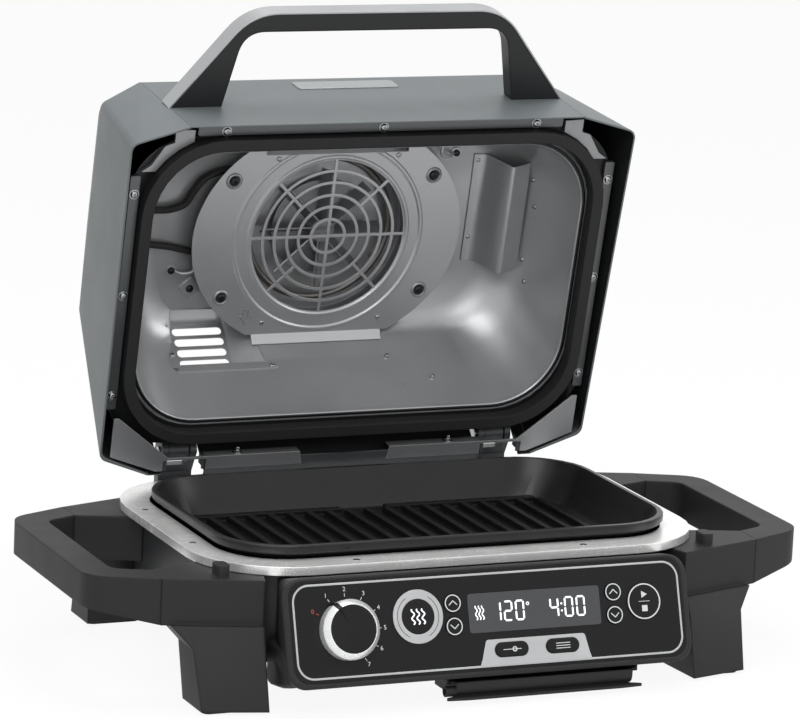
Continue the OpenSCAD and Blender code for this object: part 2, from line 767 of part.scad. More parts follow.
module liner_void(shrink) {
    skin([for (i = [0:len(bowl) - 1]) bowl_ring(bowl[i], -shrink, bowl_z(bowl[i], 0) - shrink*bowl[i][0])]);
}

module lid_liner() {
    last = len(bowl) - 1;
    color("#86888b") lid_frame() difference() {
        skin(concat(
            [for (i = [last:-1:0]) bowl_ring(bowl[i], 0, bowl_z(bowl[i], 0))],
            [deck_ring(deck_d), deck_ring(deck_d + deck_t)],
            [for (i = [0:last]) bowl_ring(bowl[i], bowl_t, bowl_z(bowl[i], deck_t) + bowl_t*bowl[i][0])]));
        translate([0, -fan_s, 0]) rod(grille_r + 3, ceiling_d - 10, ceiling_d + 10);
        vent_frame() vent_prism(vent_wall + gap);
    }
}

strip_t = 4;
gasket_s = [lid_y - gasket_y - gasket_w, lid_y + gasket_y + gasket_w];
function gasket_plan(inset) = round_rect(-gasket_x - gasket_w + inset, gasket_x + gasket_w - inset,
    -gasket_s[1] + inset, -gasket_s[0] - inset, rim_r + seal_gap + gasket_w - inset);

module lid_gasket() {
    color("#141415") lid_frame() difference() {
        slab(gasket_plan(0), ring_z + gap - lip_z, deck_d - (ring_z + gap - lip_z));
        slab(gasket_plan(gasket_w), 0, deck_d + 1);
    }
}

side_x = gasket_x + gasket_w + 1.5;
front_s = gasket_s[1] + 1.5;
strip_x = shell_w/2 - 14;
module lid_strips() {
    color("#3d3f41") lid_frame() {
        slab(round_rect(-strip_x, strip_x, -face_s(deck_d - strip_t) + sheet + gap, -front_s, 2),
            deck_d - strip_t, strip_t);
        for (m = [0, 1]) mirror([m, 0, 0])
            slab(round_rect(side_x, cap_rear_x - sheet - 3, -lid_len + 54, -52, 2), deck_d - strip_t,
                strip_t);
    }
}

// Light plates round the gasket's front corners; the lid's own corners stay open
module corner_gussets() {
    start = strip_x + 3;
    end = lid_len - 50;
    color("#9fa1a3") lid_frame() for (m = [0, 1]) mirror([m, 0, 0]) difference() {
        slab([[start, -front_s - 6], [start + 19, -front_s - 7], [start + 19, -front_s + 6],
            [start + 28, -front_s + 9], [side_x - 9, -front_s + 28], [side_x, -end], [side_x - 38, -end],
            [start, -front_s + 24]], deck_d - strip_t, strip_t);
        slab(gasket_plan(-1.5), 0, deck_d + 1);
    }
}

// Angle bars along the rear edge with wings that reach up the sides
bar_s = [-12, 1];
bar_x = 44;
wing_s = 45;
module rear_brackets() {
    d0 = corner_d + 0.5;
    t = 2;
    room = notch_x[1] - notch_x[0];
    out = cap_rear_x - 11;
    knee = side_x - 56;
    color("#b2b4b5") lid_frame() for (m = [0, 1]) mirror([m, 0, 0]) difference() {
        union() {
            slab([[bar_x, -bar_s[0]], [shell_w/2 - 6, -bar_s[0]], [out, -corner_s - 4.5], [out, -wing_s],
                [side_x - 2, -wing_s], [knee, -bar_s[1]], [bar_x + 3, -bar_s[1]]], d0, t);
            translate([bar_x + 3, -bar_s[1], d0]) cube([knee - bar_x - 3, 1.5, deck_d - d0 - gap]);
        }
        slab(gasket_plan(-1.5), 0, deck_d + 1);
        translate([notch_x[0], -bar_s[1] + 2.5, 0]) cube([room, 40, deck_d]);
        translate([notch_x[0], -bar_s[1] - 1, d0 + t]) cube([room, 40, deck_d]);
    }
}

cover_d = 112;
cover_t = 1.2;
grille_rings = [17.5, 30.5, 42.7, 55.6, 67.8];
wire = 3;
cover_tall = 119;
cover_top = 86;
cover_foot = 101;
flange_x = 74;
lip_x = 68;
lip_len = 10;
lip_angle = 34;
cover_fix = [104, 60.5];
bead_w = 5;
bead_h = 1.2;
function oval(a, b, n = 96) = [for (i = [0:n - 1]) [a*cos(360*i/n), b*sin(360*i/n)]];

// Pressed oval cover: a sunk edge at the front, a lip at the rear, beads and a ring grille
module fan_cover() {
    drop = ceiling_d - cover_d;
    color("#8f9194") lid_frame() translate([0, -fan_s, cover_d]) {
        difference() {
            union() {
                slab(oval(cover_r, cover_tall), 0, cover_t);
                for (r = [grille_r + bead_w*0.7, grille_r + bead_w*3.6]) rotate_extrude()
                    polygon([[r - bead_w/2, cover_t/2], [r - bead_w/2, 0], [r - 1, -bead_h], [r + 1, -bead_h],
                        [r + bead_w/2, 0], [r + bead_w/2, cover_t/2]]);
            }
            rod(grille_r, -bead_h - 1, cover_t + 1);
            translate([-flange_x, -cover_r - cover_top, -2]) cube([2*flange_x, cover_r, cover_t + 4]);
            translate([-cover_r, cover_foot, -2]) cube([2*cover_r, cover_r, cover_t + 4]);
        }
        for (r = grille_rings) difference() {
            rod(r + wire/2, 0, cover_t);
            rod(r - wire/2, -1, cover_t + 1);
        }
        for (a = [0, 90]) rotate([0, 0, a]) translate([-grille_r - 0.5, -wire/2, 0])
            cube([2*grille_r + 1, wire, cover_t]);
        for (a = [45:90:315]) rotate([0, 0, a]) translate([grille_rings[2], -wire/2, 0])
            cube([grille_r + 0.5 - grille_rings[2], wire, cover_t]);
        translate([-flange_x, -cover_top, 0]) cube([2*flange_x, cover_t, drop - 4]);
        translate([-lip_x, cover_foot, 0]) rotate([-lip_angle, 0, 0]) translate([0, -1, 0])
            cube([2*lip_x, lip_len + 1, cover_t]);
        for (x = [-1, 1], y = [-1, 1]) translate([x*cover_fix[0], y*cover_fix[1], 0])
            rod(4, cover_t/2, drop - fit);
    }
}

drum_r = grille_r + 6;
drum_h = 20;
module fan_drum() {
    z0 = ceiling_d + bowl_t;
    color("#77797b") lid_frame() translate([0, -fan_s, 0]) difference() {
        rod(drum_r, z0, z0 + drum_h);
        rod(drum_r - 1.2, z0 - 1, z0 + drum_h - 1.2);
        rod(shaft_r + 2, z0, z0 + drum_h + 1);
    }
}

module fan_blades() {
    z0 = cover_d + 10;
    blade_h = 18;
    color("#b9bbbd") lid_frame() translate([0, -fan_s, 0]) {
        rod(12, z0 + 4, z0 + blade_h);
        rod(fan_r - 14, z0 + blade_h - 1.2, z0 + blade_h);
        for (i = [0:blades - 1]) rotate([0, 0, i*360/blades]) translate([10, 0, z0 + blade_h/2])
            rotate([32, 0, 0]) translate([0, -0.7, -blade_h/2 + 2]) cube([fan_r - 10.5, 1.4, blade_h - 4]);
        rod(shaft_r, z0 + blade_h - 2, ceiling_d + bowl_t + drum_h + 16);
    }
}

module fan_motor() {
    z0 = ceiling_d + bowl_t + drum_h;
    color("#55575a") lid_frame() translate([0, -fan_s, 0]) difference() {
        union() {
            rod(34, z0, z0 + 2);
            rod(28, z0 + 1, z0 + 40);
        }
        rod(shaft_r + fit, z0 - 1, z0 + 18);
    }
}

module upper_element() {
    ring = grille_r - 6;
    z = ceiling_d + 8;
    color("#6a6460") lid_frame() translate([0, -fan_s, 0]) {
        translate([0, 0, z]) rotate_extrude() translate([ring, 0]) circle(3.2);
        for (a = [30, 150, 270]) rotate([0, 0, a]) translate([ring, 0, 0])
            rod(2, z, ceiling_d + bowl_t + drum_h - 1.2);
    }
}

module vent_plate() {
    color("#8f9194") lid_frame() difference() {
        vent_frame() vent_prism(vent_wall);
        vent_frame() vent_prism(0);
        vent_frame() for (i = [0:vent_slots - 1]) translate([0, (i - (vent_slots - 1)/2)*vent_pitch, 0])
            slab(round_rect(-vent_slot[0]/2, vent_slot[0]/2, -vent_slot[1]/2, vent_slot[1]/2, 4, 4), -2, 10);
        liner_void(0);
    }
}

baffle_s = [143, 255];
baffle_t = 1.2;
// Bent sheet that guides the smoke, open at both ends, from the ceiling to the side wall
module smoke_baffle() {
    edge = mouth_x - 74;
    fold = ceiling_d - gap - baffle_t;
    path = [[edge, fold], [edge + 9, fold], [edge + 26, fold - 37], [edge + 56, fold - 23]];
    color("#97999c") lid_frame() intersection() {
        translate([0, -baffle_s[0], 0]) rotate([90, 0, 0])
            linear_extrude(baffle_s[1] - baffle_s[0]) polygon(band(path, baffle_t));
        liner_void(gap);
    }
}

pivot_r = 2;
module pellet_box() {
    s0 = box_s[0];
    w = box_s[1] - box_s[0];
    h = box_d[1] - box_d[0];
    wall = 1.6;
    color("#2c2d2f") lid_frame() difference() {
        union() {
            translate([mouth_x + 4, -box_s[1], box_d[0]]) cube([box_out - mouth_x - 4, w, h]);
            for (y = [-box_s[1] + 2, -s0 - 8]) translate([box_out + 2, y, box_d[0] + 3]) rotate([-90, 0, 0]) {
                cylinder(r = pivot_r + 1.6, h = 6);
                translate([-4, -1.6, 0]) cube([4, 3.2, 6]);
            }
        }
        translate([mouth_x + 4 + wall, -box_s[1] + wall, box_d[0] + wall + 5])
            cube([box_out, w - 2*wall, h - 2*wall - 5]);
        translate([box_out + 2, -box_s[1] - 1, box_d[0] + 3]) rotate([-90, 0, 0])
            cylinder(r = pivot_r + fit, h = w + 2);
    }
}

module pellet_door() {
    w = box_s[1] - box_s[0];
    h = box_d[1] - box_d[0];
    inner = w - 20;
    color("#6b6e70") lid_frame() {
        translate([box_out + gap, -box_s[1], box_d[0] + 8]) cube([3.5, w, h - 8]);
        translate([box_out + gap, -box_s[1] + 10, box_d[0] + 3]) cube([3.5, inner, 6]);
        translate([box_out + 2, -box_s[1] + 2.5, box_d[0] + 3]) rotate([-90, 0, 0])
            cylinder(r = pivot_r, h = w - 5);
    }
}

handle_d = [53, 53 + handle_t];
handle_s = lid_len + handle_reach;
handle_x = [shell_w/2, shell_w/2 - 79];
grip_x = [shell_w/2 - 52, shell_w/2 - 67];
bar_t = 23;
root_s = lid_len - 6;
handle_path = soft_path([[-handle_x[0], root_s], [-handle_x[1], handle_s], [handle_x[1], handle_s],
    [handle_x[0], root_s]], 30, 8);
grip_path = soft_path([[grip_x[0], root_s], [grip_x[1], handle_s - bar_t], [-grip_x[1], handle_s - bar_t],
    [-grip_x[0], root_s]], 24, 8);
band_t = 1.5;

module handle_seat() {
    difference() {
        children();
        across([[-face_s(0) - gap, 0], [-face_s(face_h) - gap, face_h], [0, face_h], [0, 0]],
            -shell_w, shell_w);
    }
}

module lid_handle() {
    color("#202122") lid_frame() handle_seat()
        slab([for (p = concat(handle_path, grip_path)) [p[0], -p[1]]], handle_d[0], handle_t);
}

module handle_band() {
    color("#b9bbbd") lid_frame() handle_seat()
        slab([for (p = band(handle_path, band_t)) [p[0], -p[1]]], handle_d[0] - 1, handle_t + 2);
}

// Arms on the lid's rear slope that turn on the hinge pins
slope_dir = [sin(slope_angle), cos(slope_angle)];
hinge_s = lid_y - hinge_y;
hinge_d = hinge_z - lip_z;
hinge_u = (hinge_s - skirt_s)*slope_dir[0] + (hinge_d - skirt_d)*slope_dir[1];
hinge_w = -(hinge_s - skirt_s)*slope_dir[1] + (hinge_d - skirt_d)*slope_dir[0];
module lid_knuckles() {
    arm = knuckle_r*0.9;
    strap = 52;
    color("#4a4b4d") lid_frame() for (m = [0, 1]) mirror([m, 0, 0])
        translate([ear_x + ear_t + 1, -skirt_s, skirt_d]) rotate([slope_angle, 0, 0]) difference() {
            union() {
                across([[hinge_w - arm, hinge_u], [0.1, hinge_u + notch_up], [0.1, hinge_u + strap],
                    [4, hinge_u + strap], [hinge_w + arm, hinge_u]], 0, knuckle_w);
                translate([0, hinge_w, hinge_u]) rotate([0, 90, 0]) cylinder(r = knuckle_r, h = knuckle_w);
            }
            translate([-1, hinge_w, hinge_u]) rotate([0, 90, 0]) cylinder(r = pin_r + fit, h = knuckle_w + 2);
        }
}

module screw_head(r, h) {
    rotate_extrude() polygon([[0, 0], [r, 0], [r, h*0.4], [r*0.6, h], [0, h]]);
}

module lid_screws() {
    face = deck_d - strip_t;
    side_mid = (side_x + cap_rear_x - sheet - 3)/2;
    color("#c0c1c2") lid_frame() {
        for (x = [-158, 0, 158]) translate([x, -front_s - 4.2, face])
            rotate([180, 0, 0]) screw_head(3.4, 2.2);
        for (m = [0, 1], s = [270, 168, 66]) mirror([m, 0, 0]) translate([side_mid, -s, face])
            rotate([180, 0, 0]) screw_head(3.4, 2.2);
        for (x = [-1, 1], y = [-1, 1]) translate([x*cover_fix[0], -fan_s + y*cover_fix[1], cover_d])
            rotate([180, 0, 0]) screw_head(6, 3);
    }
}

base_tub();
trim_ring();
base_liner();
lower_element();
grill_plate();
grease_tray();
tray_rails();
front_leg_left();
front_leg_right();
rear_leg_left();
rear_leg_right();
side_handle_left();
side_handle_right();
foot_pads();
panel_housing();
panel_fascia();
panel_line();
display_window();
control_board();
dial_encoder();
dial_cap();
dial_ring();
smoke_bezel();
smoke_button();
temp_up();
temp_down();
time_up();
time_down();
start_button();
probe_plate();
manual_button();
preset_button();
drawer_rails();
probe_drawer();
probe();
hinge_bracket_left();
hinge_bracket_right();
hinge_pins();
cord_gland();
lid_knuckles();
lid_shell();
lid_cap_left();
lid_cap_right();
lid_liner();
lid_strips();
corner_gussets();
rear_brackets();
lid_gasket();
fan_cover();
fan_drum();
fan_blades();
fan_motor();
upper_element();
vent_plate();
smoke_baffle();
pellet_box();
pellet_door();
lid_handle();
handle_band();
lid_screws();
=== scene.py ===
"""Looks of a countertop electric grill and smoker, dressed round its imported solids.

Lengths in the classes are millimetres on a named plane of the part; meshes are in metres
in the part's own frame.
"""
import json
import logging
import math
from dataclasses import dataclass
from enum import Enum
from typing import Dict, List, Mapping, Optional, Sequence, Tuple, Union

import bmesh
import bpy
from mathutils import Matrix, Vector


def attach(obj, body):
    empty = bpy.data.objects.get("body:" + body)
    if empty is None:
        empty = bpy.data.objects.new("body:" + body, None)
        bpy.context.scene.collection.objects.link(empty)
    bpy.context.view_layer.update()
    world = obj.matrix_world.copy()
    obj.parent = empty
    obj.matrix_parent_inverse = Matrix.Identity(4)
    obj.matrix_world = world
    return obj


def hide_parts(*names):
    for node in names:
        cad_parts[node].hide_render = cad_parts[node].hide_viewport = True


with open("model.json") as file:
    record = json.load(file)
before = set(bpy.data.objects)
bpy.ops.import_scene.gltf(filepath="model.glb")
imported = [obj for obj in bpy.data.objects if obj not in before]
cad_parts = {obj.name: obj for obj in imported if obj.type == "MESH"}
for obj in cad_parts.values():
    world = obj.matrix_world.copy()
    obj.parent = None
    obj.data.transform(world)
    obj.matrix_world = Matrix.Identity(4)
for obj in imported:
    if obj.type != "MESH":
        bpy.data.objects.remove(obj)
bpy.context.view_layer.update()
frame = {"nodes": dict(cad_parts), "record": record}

LOG = logging.getLogger("grill_scene")
MM = 0.001
# Metres within which two points are one, the angle from which an edge stays sharp, and half a print's thickness
WELD = 1e-7
SHARP = math.radians(35)
PRINT_HALF = 0.06
Point = Tuple[float, float]
Spot = Tuple[float, float, float]
Colour = Tuple[float, float, float, float]


def srgb(code: str) -> Colour:
    """Linear colour of a hex code.

    Args:
        code: Six hex digits after a hash sign.

    Returns:
        Red, green, blue and alpha, linear.
    """
    parts = [int(code[i:i + 2], 16) / 255 for i in (1, 3, 5)]
    red, green, blue = (p / 12.92 if p <= 0.04045 else ((p + 0.055) / 1.055) ** 2.4 for p in parts)
    return red, green, blue, 1.0


def scaled(colour: Colour, share: float) -> Colour:
    """The colour made brighter or darker by a share."""
    return colour[0] * share, colour[1] * share, colour[2] * share, 1.0


@dataclass(frozen=True)
class Plane:
    """A flat working plane on the part, in millimetres.

    Its x runs to the right of the part, y up the plane and z out of it.
    """

    origin: Spot
    up: Tuple[float, float]
    out: Tuple[float, float]

    def place(self, x: float, y: float, z: float = 0.0, turn: float = 0.0, spin: float = 0.0,
              lean: float = 0.0) -> Matrix:
        """Matrix that carries millimetres at a spot of the plane to metres in the part's frame.

        Args:
            x: Distance to the right.
            y: Distance up the plane.
            z: Distance out of the plane.
            turn: Turn of the local axes about x, in degrees.
            spin: Turn of the local axes about their own z, in degrees.
            lean: Turn of the local axes about the plane's y, in degrees.

        Returns:
            The matrix, scale included.
        """
        axes = Matrix(((1, 0, 0, 0), (0, self.up[0], self.out[0], 0), (0, self.up[1], self.out[1], 0), (0, 0, 0, 1)))
        spot = Matrix.Translation(Vector(self.origin)) @ axes @ Matrix.Translation((x, y, z))
        turns = ((lean, "Y"), (turn, "X"), (spin, "Z"))
        for angle, axis in turns:
            spot = spot @ Matrix.Rotation(math.radians(angle), 4, axis)
        return Matrix.Scale(MM, 4) @ spot

    def point(self, x: float, y: float, z: float = 0.0) -> Vector:
        """A spot of the plane in metres in the part's frame."""
        return self.place(x, y, z).translation


LID_ANGLE = math.radians(78.4)
PANEL_LEAN = math.radians(19.0)
# On the lid's plane y is the way forward from the hinge edge, and z is minus the depth into the lid
LID = Plane((0.0, 78.83, 148.0), (-math.cos(LID_ANGLE), math.sin(LID_ANGLE)),
            (-math.sin(LID_ANGLE), -math.cos(LID_ANGLE)))
PANEL = Plane((0.0, -275.71, 34.3), (math.sin(PANEL_LEAN), math.cos(PANEL_LEAN)),
              (-math.cos(PANEL_LEAN), math.sin(PANEL_LEAN)))
RING_TOP = Plane((0.0, -60.01, 125.0), (1.0, 0.0), (0.0, 1.0))


class Value:
    """A number socket that takes part in Python arithmetic by adding Math nodes."""

    def __init__(self, nodes: "Nodes", socket: bpy.types.NodeSocket) -> None:
        """Wraps a socket of a node tree."""
        self.nodes = nodes
        self.socket = socket

    def _math(self, operation: str, other: "Number", flipped: bool = False) -> "Value":
        """Adds a Math node on this value and another.

        Args:
            operation: Name of the Math node's operation.
            other: The second value.
            flipped: True if the other value comes first.

        Returns:
            The node's result.
        """
        pair = (other, self) if flipped else (self, other)
        return self.nodes.value("ShaderNodeMath", {"operation": operation}, {0: pair[0], 1: pair[1]})

    def __add__(self, other: "Number") -> "Value":
        """Sum."""
        return self._math("ADD", other)

    def __sub__(self, other: "Number") -> "Value":
        """Difference."""
        return self._math("SUBTRACT", other)

    def __rsub__(self, other: "Number") -> "Value":
        """Difference with this value second."""
        return self._math("SUBTRACT", other, True)

    def __mul__(self, other: "Number") -> "Value":
        """Product."""
        return self._math("MULTIPLY", other)

    __radd__ = __add__
    __rmul__ = __mul__

    def held(self) -> "Value":
        """The value kept between 0 and 1."""
        return self.nodes.value("ShaderNodeClamp", {}, {0: self})


Number = Union[float, Value]
Setting = Mapping[str, object]
Feed = Mapping[Union[str, int], object]


class Nodes:
    """A node tree that is filled from Python."""

    def __init__(self, tree: bpy.types.NodeTree) -> None:
        """Empties the tree and keeps it."""
        tree.nodes.clear()
        self.tree = tree

    def node(self, kind: str, settings: Setting, inputs: Feed) -> bpy.types.Node:
        """Adds a node.

        Args:
            kind: Blender's name of the node's type.
            settings: Its own settings, set first. The key stops holds a ramp's places and colours.
            inputs: What each socket takes: a number, a colour, a Value or a socket.

        Returns:
            The new node.
        """
        made = self.tree.nodes.new(kind)
        for key, setting in settings.items():
            if key == "stops":
                for element, (place, colour) in zip(made.color_ramp.elements, setting):
                    element.position = place
                    element.color = colour
            else:
                setattr(made, key, setting)
        for key, feed in inputs.items():
            if isinstance(feed, Value):
                self.tree.links.new(feed.socket, made.inputs[key])
            elif isinstance(feed, bpy.types.NodeSocket):
                self.tree.links.new(feed, made.inputs[key])
            else:
                made.inputs[key].default_value = feed
        return made

    def value(self, kind: str, settings: Setting, inputs: Feed, output: Union[int, str] = 0) -> Value:
        """Adds a node and wraps one of its outputs as a number."""
        return Value(self, self.node(kind, settings, inputs).outputs[output])

    def white_rays(self) -> Value:
        """1 on rays from the camera, from gloss and through glass, and 0 on the rest."""
        path = self.node("ShaderNodeLightPath", {}, {})
        camera, gloss, glass = (Value(self, path.outputs[name]) for name in
                                ("Is Camera Ray", "Is Glossy Ray", "Is Transmission Ray"))
        return (camera + gloss + glass).held()


class Shader(Nodes):
    """The node tree of one material of the part."""

    def __init__(self, name: str) -> None:
        """Makes the material.

        Args:
            name: Name of the material.
        """
        self.material = bpy.data.materials.new(name)
        self.material.use_nodes = True
        super().__init__(self.material.node_tree)
        self.spot = self.node("ShaderNodeTexCoord", {}, {}).outputs["Object"]

    def noise(self, size_mm: float, detail: float = 2.0, stretch: Sequence[float] = (1, 1, 1)) -> Value:
        """Cloudy noise from 0 to 1.

        Args:
            size_mm: Size of its spots.
            detail: Number of finer layers.
            stretch: How tightly it is packed along each axis.

        Returns:
            The noise.
        """
        packed = self.node("ShaderNodeVectorMath", {"operation": "MULTIPLY"}, {0: self.spot, 1: tuple(stretch)})
        return self.value("ShaderNodeTexNoise", {}, {"Vector": packed.outputs[0], "Scale": 1 / (size_mm * MM),
                                                     "Detail": detail})

    def flecks(self, size_mm: float) -> Value:
        """Distance to the nearest of many scattered points, from 0 to about 1."""
        return self.value("ShaderNodeTexVoronoi", {}, {"Vector": self.spot, "Scale": 1 / (size_mm * MM)})

    def between(self, low: float, high: float, level: Value) -> Value:
        """0 where the level is at or under low, 1 at or over high."""
        return self.value("ShaderNodeMapRange", {}, {"Value": level, "From Min": low, "From Max": high})

    def blend(self, one: object, two: object, share: Value) -> bpy.types.NodeSocket:
        """A colour between two.

        Args:
            one: Colour at share 0.
            two: Colour at share 1.
            share: How much of the second.

        Returns:
            The colour's socket.
        """
        return self.node("ShaderNodeMix", {"data_type": "RGBA"}, {0: share, 6: one, 7: two}).outputs[2]

    def soft_edges(self, radius_mm: float) -> Tuple[bpy.types.NodeSocket, Value]:
        """Normals that round the part's edges.

        Args:
            radius_mm: Radius of the rounding.

        Returns:
            The normal, and a mask that is 1 on the edges.
        """
        rounded = self.node("ShaderNodeBevel", {"samples": 4}, {"Radius": radius_mm * MM}).outputs[0]
        flat = self.node("ShaderNodeNewGeometry", {}, {}).outputs["Normal"]
        along = self.value("ShaderNodeVectorMath", {"operation": "DOT_PRODUCT"}, {0: rounded, 1: flat}, 1)
        return rounded, ((1.0 - along) * 4.0).held()

    def bump(self, height: Value, relief_mm: float, normal: bpy.types.NodeSocket) -> bpy.types.NodeSocket:
        """Small relief on a surface.

        Args:
            height: Height from 0 to 1.
            relief_mm: What height 1 stands for.
            normal: The normal that it adds to.

        Returns:
            The bumped normal.
        """
        return self.node("ShaderNodeBump", {}, {"Height": height, "Distance": relief_mm * MM,
                                                "Normal": normal}).outputs[0]

    def surface(self, inputs: Feed) -> bpy.types.Material:
        """Ends the tree in one shader and returns the material."""
        shader = self.node("ShaderNodeBsdfPrincipled", {}, inputs)
        self.node("ShaderNodeOutputMaterial", {}, {"Surface": shader.outputs[0]})
        return self.material


@dataclass(frozen=True)
class Finish:
    """A moulded, painted or plated skin with a grain, rounded edges and a painted highlight along the edges."""

    name: str
    colour: str
    rough: float
    metallic: float = 0.0
    grain_mm: float = 0.9
    relief_mm: float = 0.02
    tone: float = 0.12
    edge_mm: float = 0.8
    # How strongly the edges are lightened in colour: a painted highlight
    wear: float = 0.25
    coat: float = 0.0
    specular: float = 0.5
    coat_rough: float = 0.12
    cloud_mm: float = 38.0
    # How much lighter the painted edge highlight is than the colour
    worn_tone: float = 1.9
    # What the clouds and the grain add to the colour's tone and to the roughness
    tone_shares: Point = (0.55, 0.45)
    rough_shares: Point = (0.14, 0.10)

    def grain(self, shader: Shader) -> Value:
        """Fine grain of the skin, from 0 to 1."""
        return shader.noise(self.grain_mm, 3.0)

    def paint(self, shader: Shader, grain: Value, cloud: Value) -> bpy.types.NodeSocket:
        """Colour of the skin before the painted edge highlight.

        Args:
            shader: The tree that it belongs to.
            grain: Fine grain.
            cloud: Wide soft patches.

        Returns:
            The colour's socket.
        """
        colour = srgb(self.colour)
        share = self.tone_shares[0] * cloud + self.tone_shares[1] * grain
        return shader.blend(scaled(colour, 1 - self.tone), scaled(colour, 1 + self.tone), share)

    def material(self) -> bpy.types.Material:
        """The material, made once."""
        name = "skin_" + self.name
        known = bpy.data.materials.get(name)
        if known:
            return known
        return self.fill(Shader(name))

    def fill(self, shader: Shader) -> bpy.types.Material:
        """Fills a material's tree.

        Args:
            shader: The empty tree.

        Returns:
            The material.
        """
        grain = self.grain(shader)
        cloud = shader.noise(self.cloud_mm, 4.0)
        rounded, edge = shader.soft_edges(self.edge_mm)
        # Painted highlight: the colour is lightened along the edges by the edge mask
        highlight_colour = scaled(srgb(self.colour), self.worn_tone)
        highlighted = shader.blend(self.paint(shader, grain, cloud), highlight_colour, edge * self.wear)
        by_cloud, by_grain = self.rough_shares
        rough = (self.rough + by_cloud * (cloud - 0.5) + by_grain * (grain - 0.5)).held()
        return shader.surface({
            "Base Color": highlighted, "Roughness": rough, "Metallic": self.metallic, "Coat Weight": self.coat,
            "Coat Roughness": self.coat_rough, "Specular IOR Level": self.specular,
            "Normal": shader.bump(grain, self.relief_mm, rounded)})


@dataclass(frozen=True)
class Brushed(Finish):
    """Metal with fine lines rubbed along one axis."""

    lines: Spot = (0.02, 1.0, 1.0)

    def grain(self, shader: Shader) -> Value:
        """Long thin streaks."""
        return shader.noise(self.grain_mm, 4.0, self.lines)


@dataclass(frozen=True)
class Speckled(Finish):
    """A fired or sprayed coat with fine lighter flecks."""

    fleck: str = "#6a6a6c"
    fleck_gap: float = 2.4
    fleck_edge: Point = (0.10, 0.22)
    fleck_share: float = 0.5

    def paint(self, shader: Shader, grain: Value, cloud: Value) -> bpy.types.NodeSocket:
        """Colour of the coat with its flecks."""
        plain = super().paint(shader, grain, cloud)
        spots = 1.0 - shader.between(*self.fleck_edge, shader.flecks(self.grain_mm * self.fleck_gap))
        return shader.blend(plain, srgb(self.fleck), spots * self.fleck_share)


@dataclass(frozen=True)
class Lined(Finish):
    """The lid's paint, made dark on faces that look at the shell's middle."""

    middle: Spot = (0.0, 0.1034, 0.3266)
    inside: str = "#1c1d1e"
    turn: float = 0.004

    def paint(self, shader: Shader, grain: Value, cloud: Value) -> bpy.types.NodeSocket:
        """Colour of the paint, dark on faces that look at the shell's middle."""
        outer = super().paint(shader, grain, cloud)
        away = shader.node("ShaderNodeVectorMath", {"operation": "SUBTRACT"}, {0: shader.spot, 1: self.middle})
        face = shader.node("ShaderNodeTexCoord", {}, {}).outputs["Normal"]
        facing = shader.value("ShaderNodeVectorMath", {"operation": "DOT_PRODUCT"}, {0: away.outputs[0], 1: face}, 1)
        return shader.blend(srgb(self.inside), outer, shader.between(-self.turn, self.turn, facing))


@dataclass(frozen=True)
class Decked(Finish):
    """Bright metal of the lid's bowl, dark on the deck round its mouth."""

    into_lid: Spot = (0.0, 0.9796, 0.2011)
    deck: Tuple[float, float] = (0.1273, 0.1278)
    dark: str = "#232425"

    def paint(self, shader: Shader, grain: Value, cloud: Value) -> bpy.types.NodeSocket:
        """Colour of the metal, dark where it lies no deeper in the lid than the deck."""
        bright = super().paint(shader, grain, cloud)
        depth = shader.value("ShaderNodeVectorMath", {"operation": "DOT_PRODUCT"},
                             {0: shader.spot, 1: self.into_lid}, 1)
        return shader.blend(srgb(self.dark), bright, shader.between(*self.deck, depth))


@dataclass(frozen=True)
class Printed(Finish):
    """Screen print or a lit segment, with a slightly uneven edge of ink."""

    glow: float = 0.0

    def fill(self, shader: Shader) -> bpy.types.Material:
        """Fills the tree with ink and its glow."""
        ink = shader.noise(self.grain_mm, 2.0)
        colour = srgb(self.colour)
        tint = shader.blend(scaled(colour, 1 - self.tone), scaled(colour, 1 + self.tone), ink)
        feeds: Dict[Union[str, int], object] = {"Base Color": tint, "Roughness": self.rough + 0.1 * (ink - 0.5)}
        if self.glow:
            feeds["Emission Color"] = tint
            feeds["Emission Strength"] = self.glow
        return shader.surface(feeds)


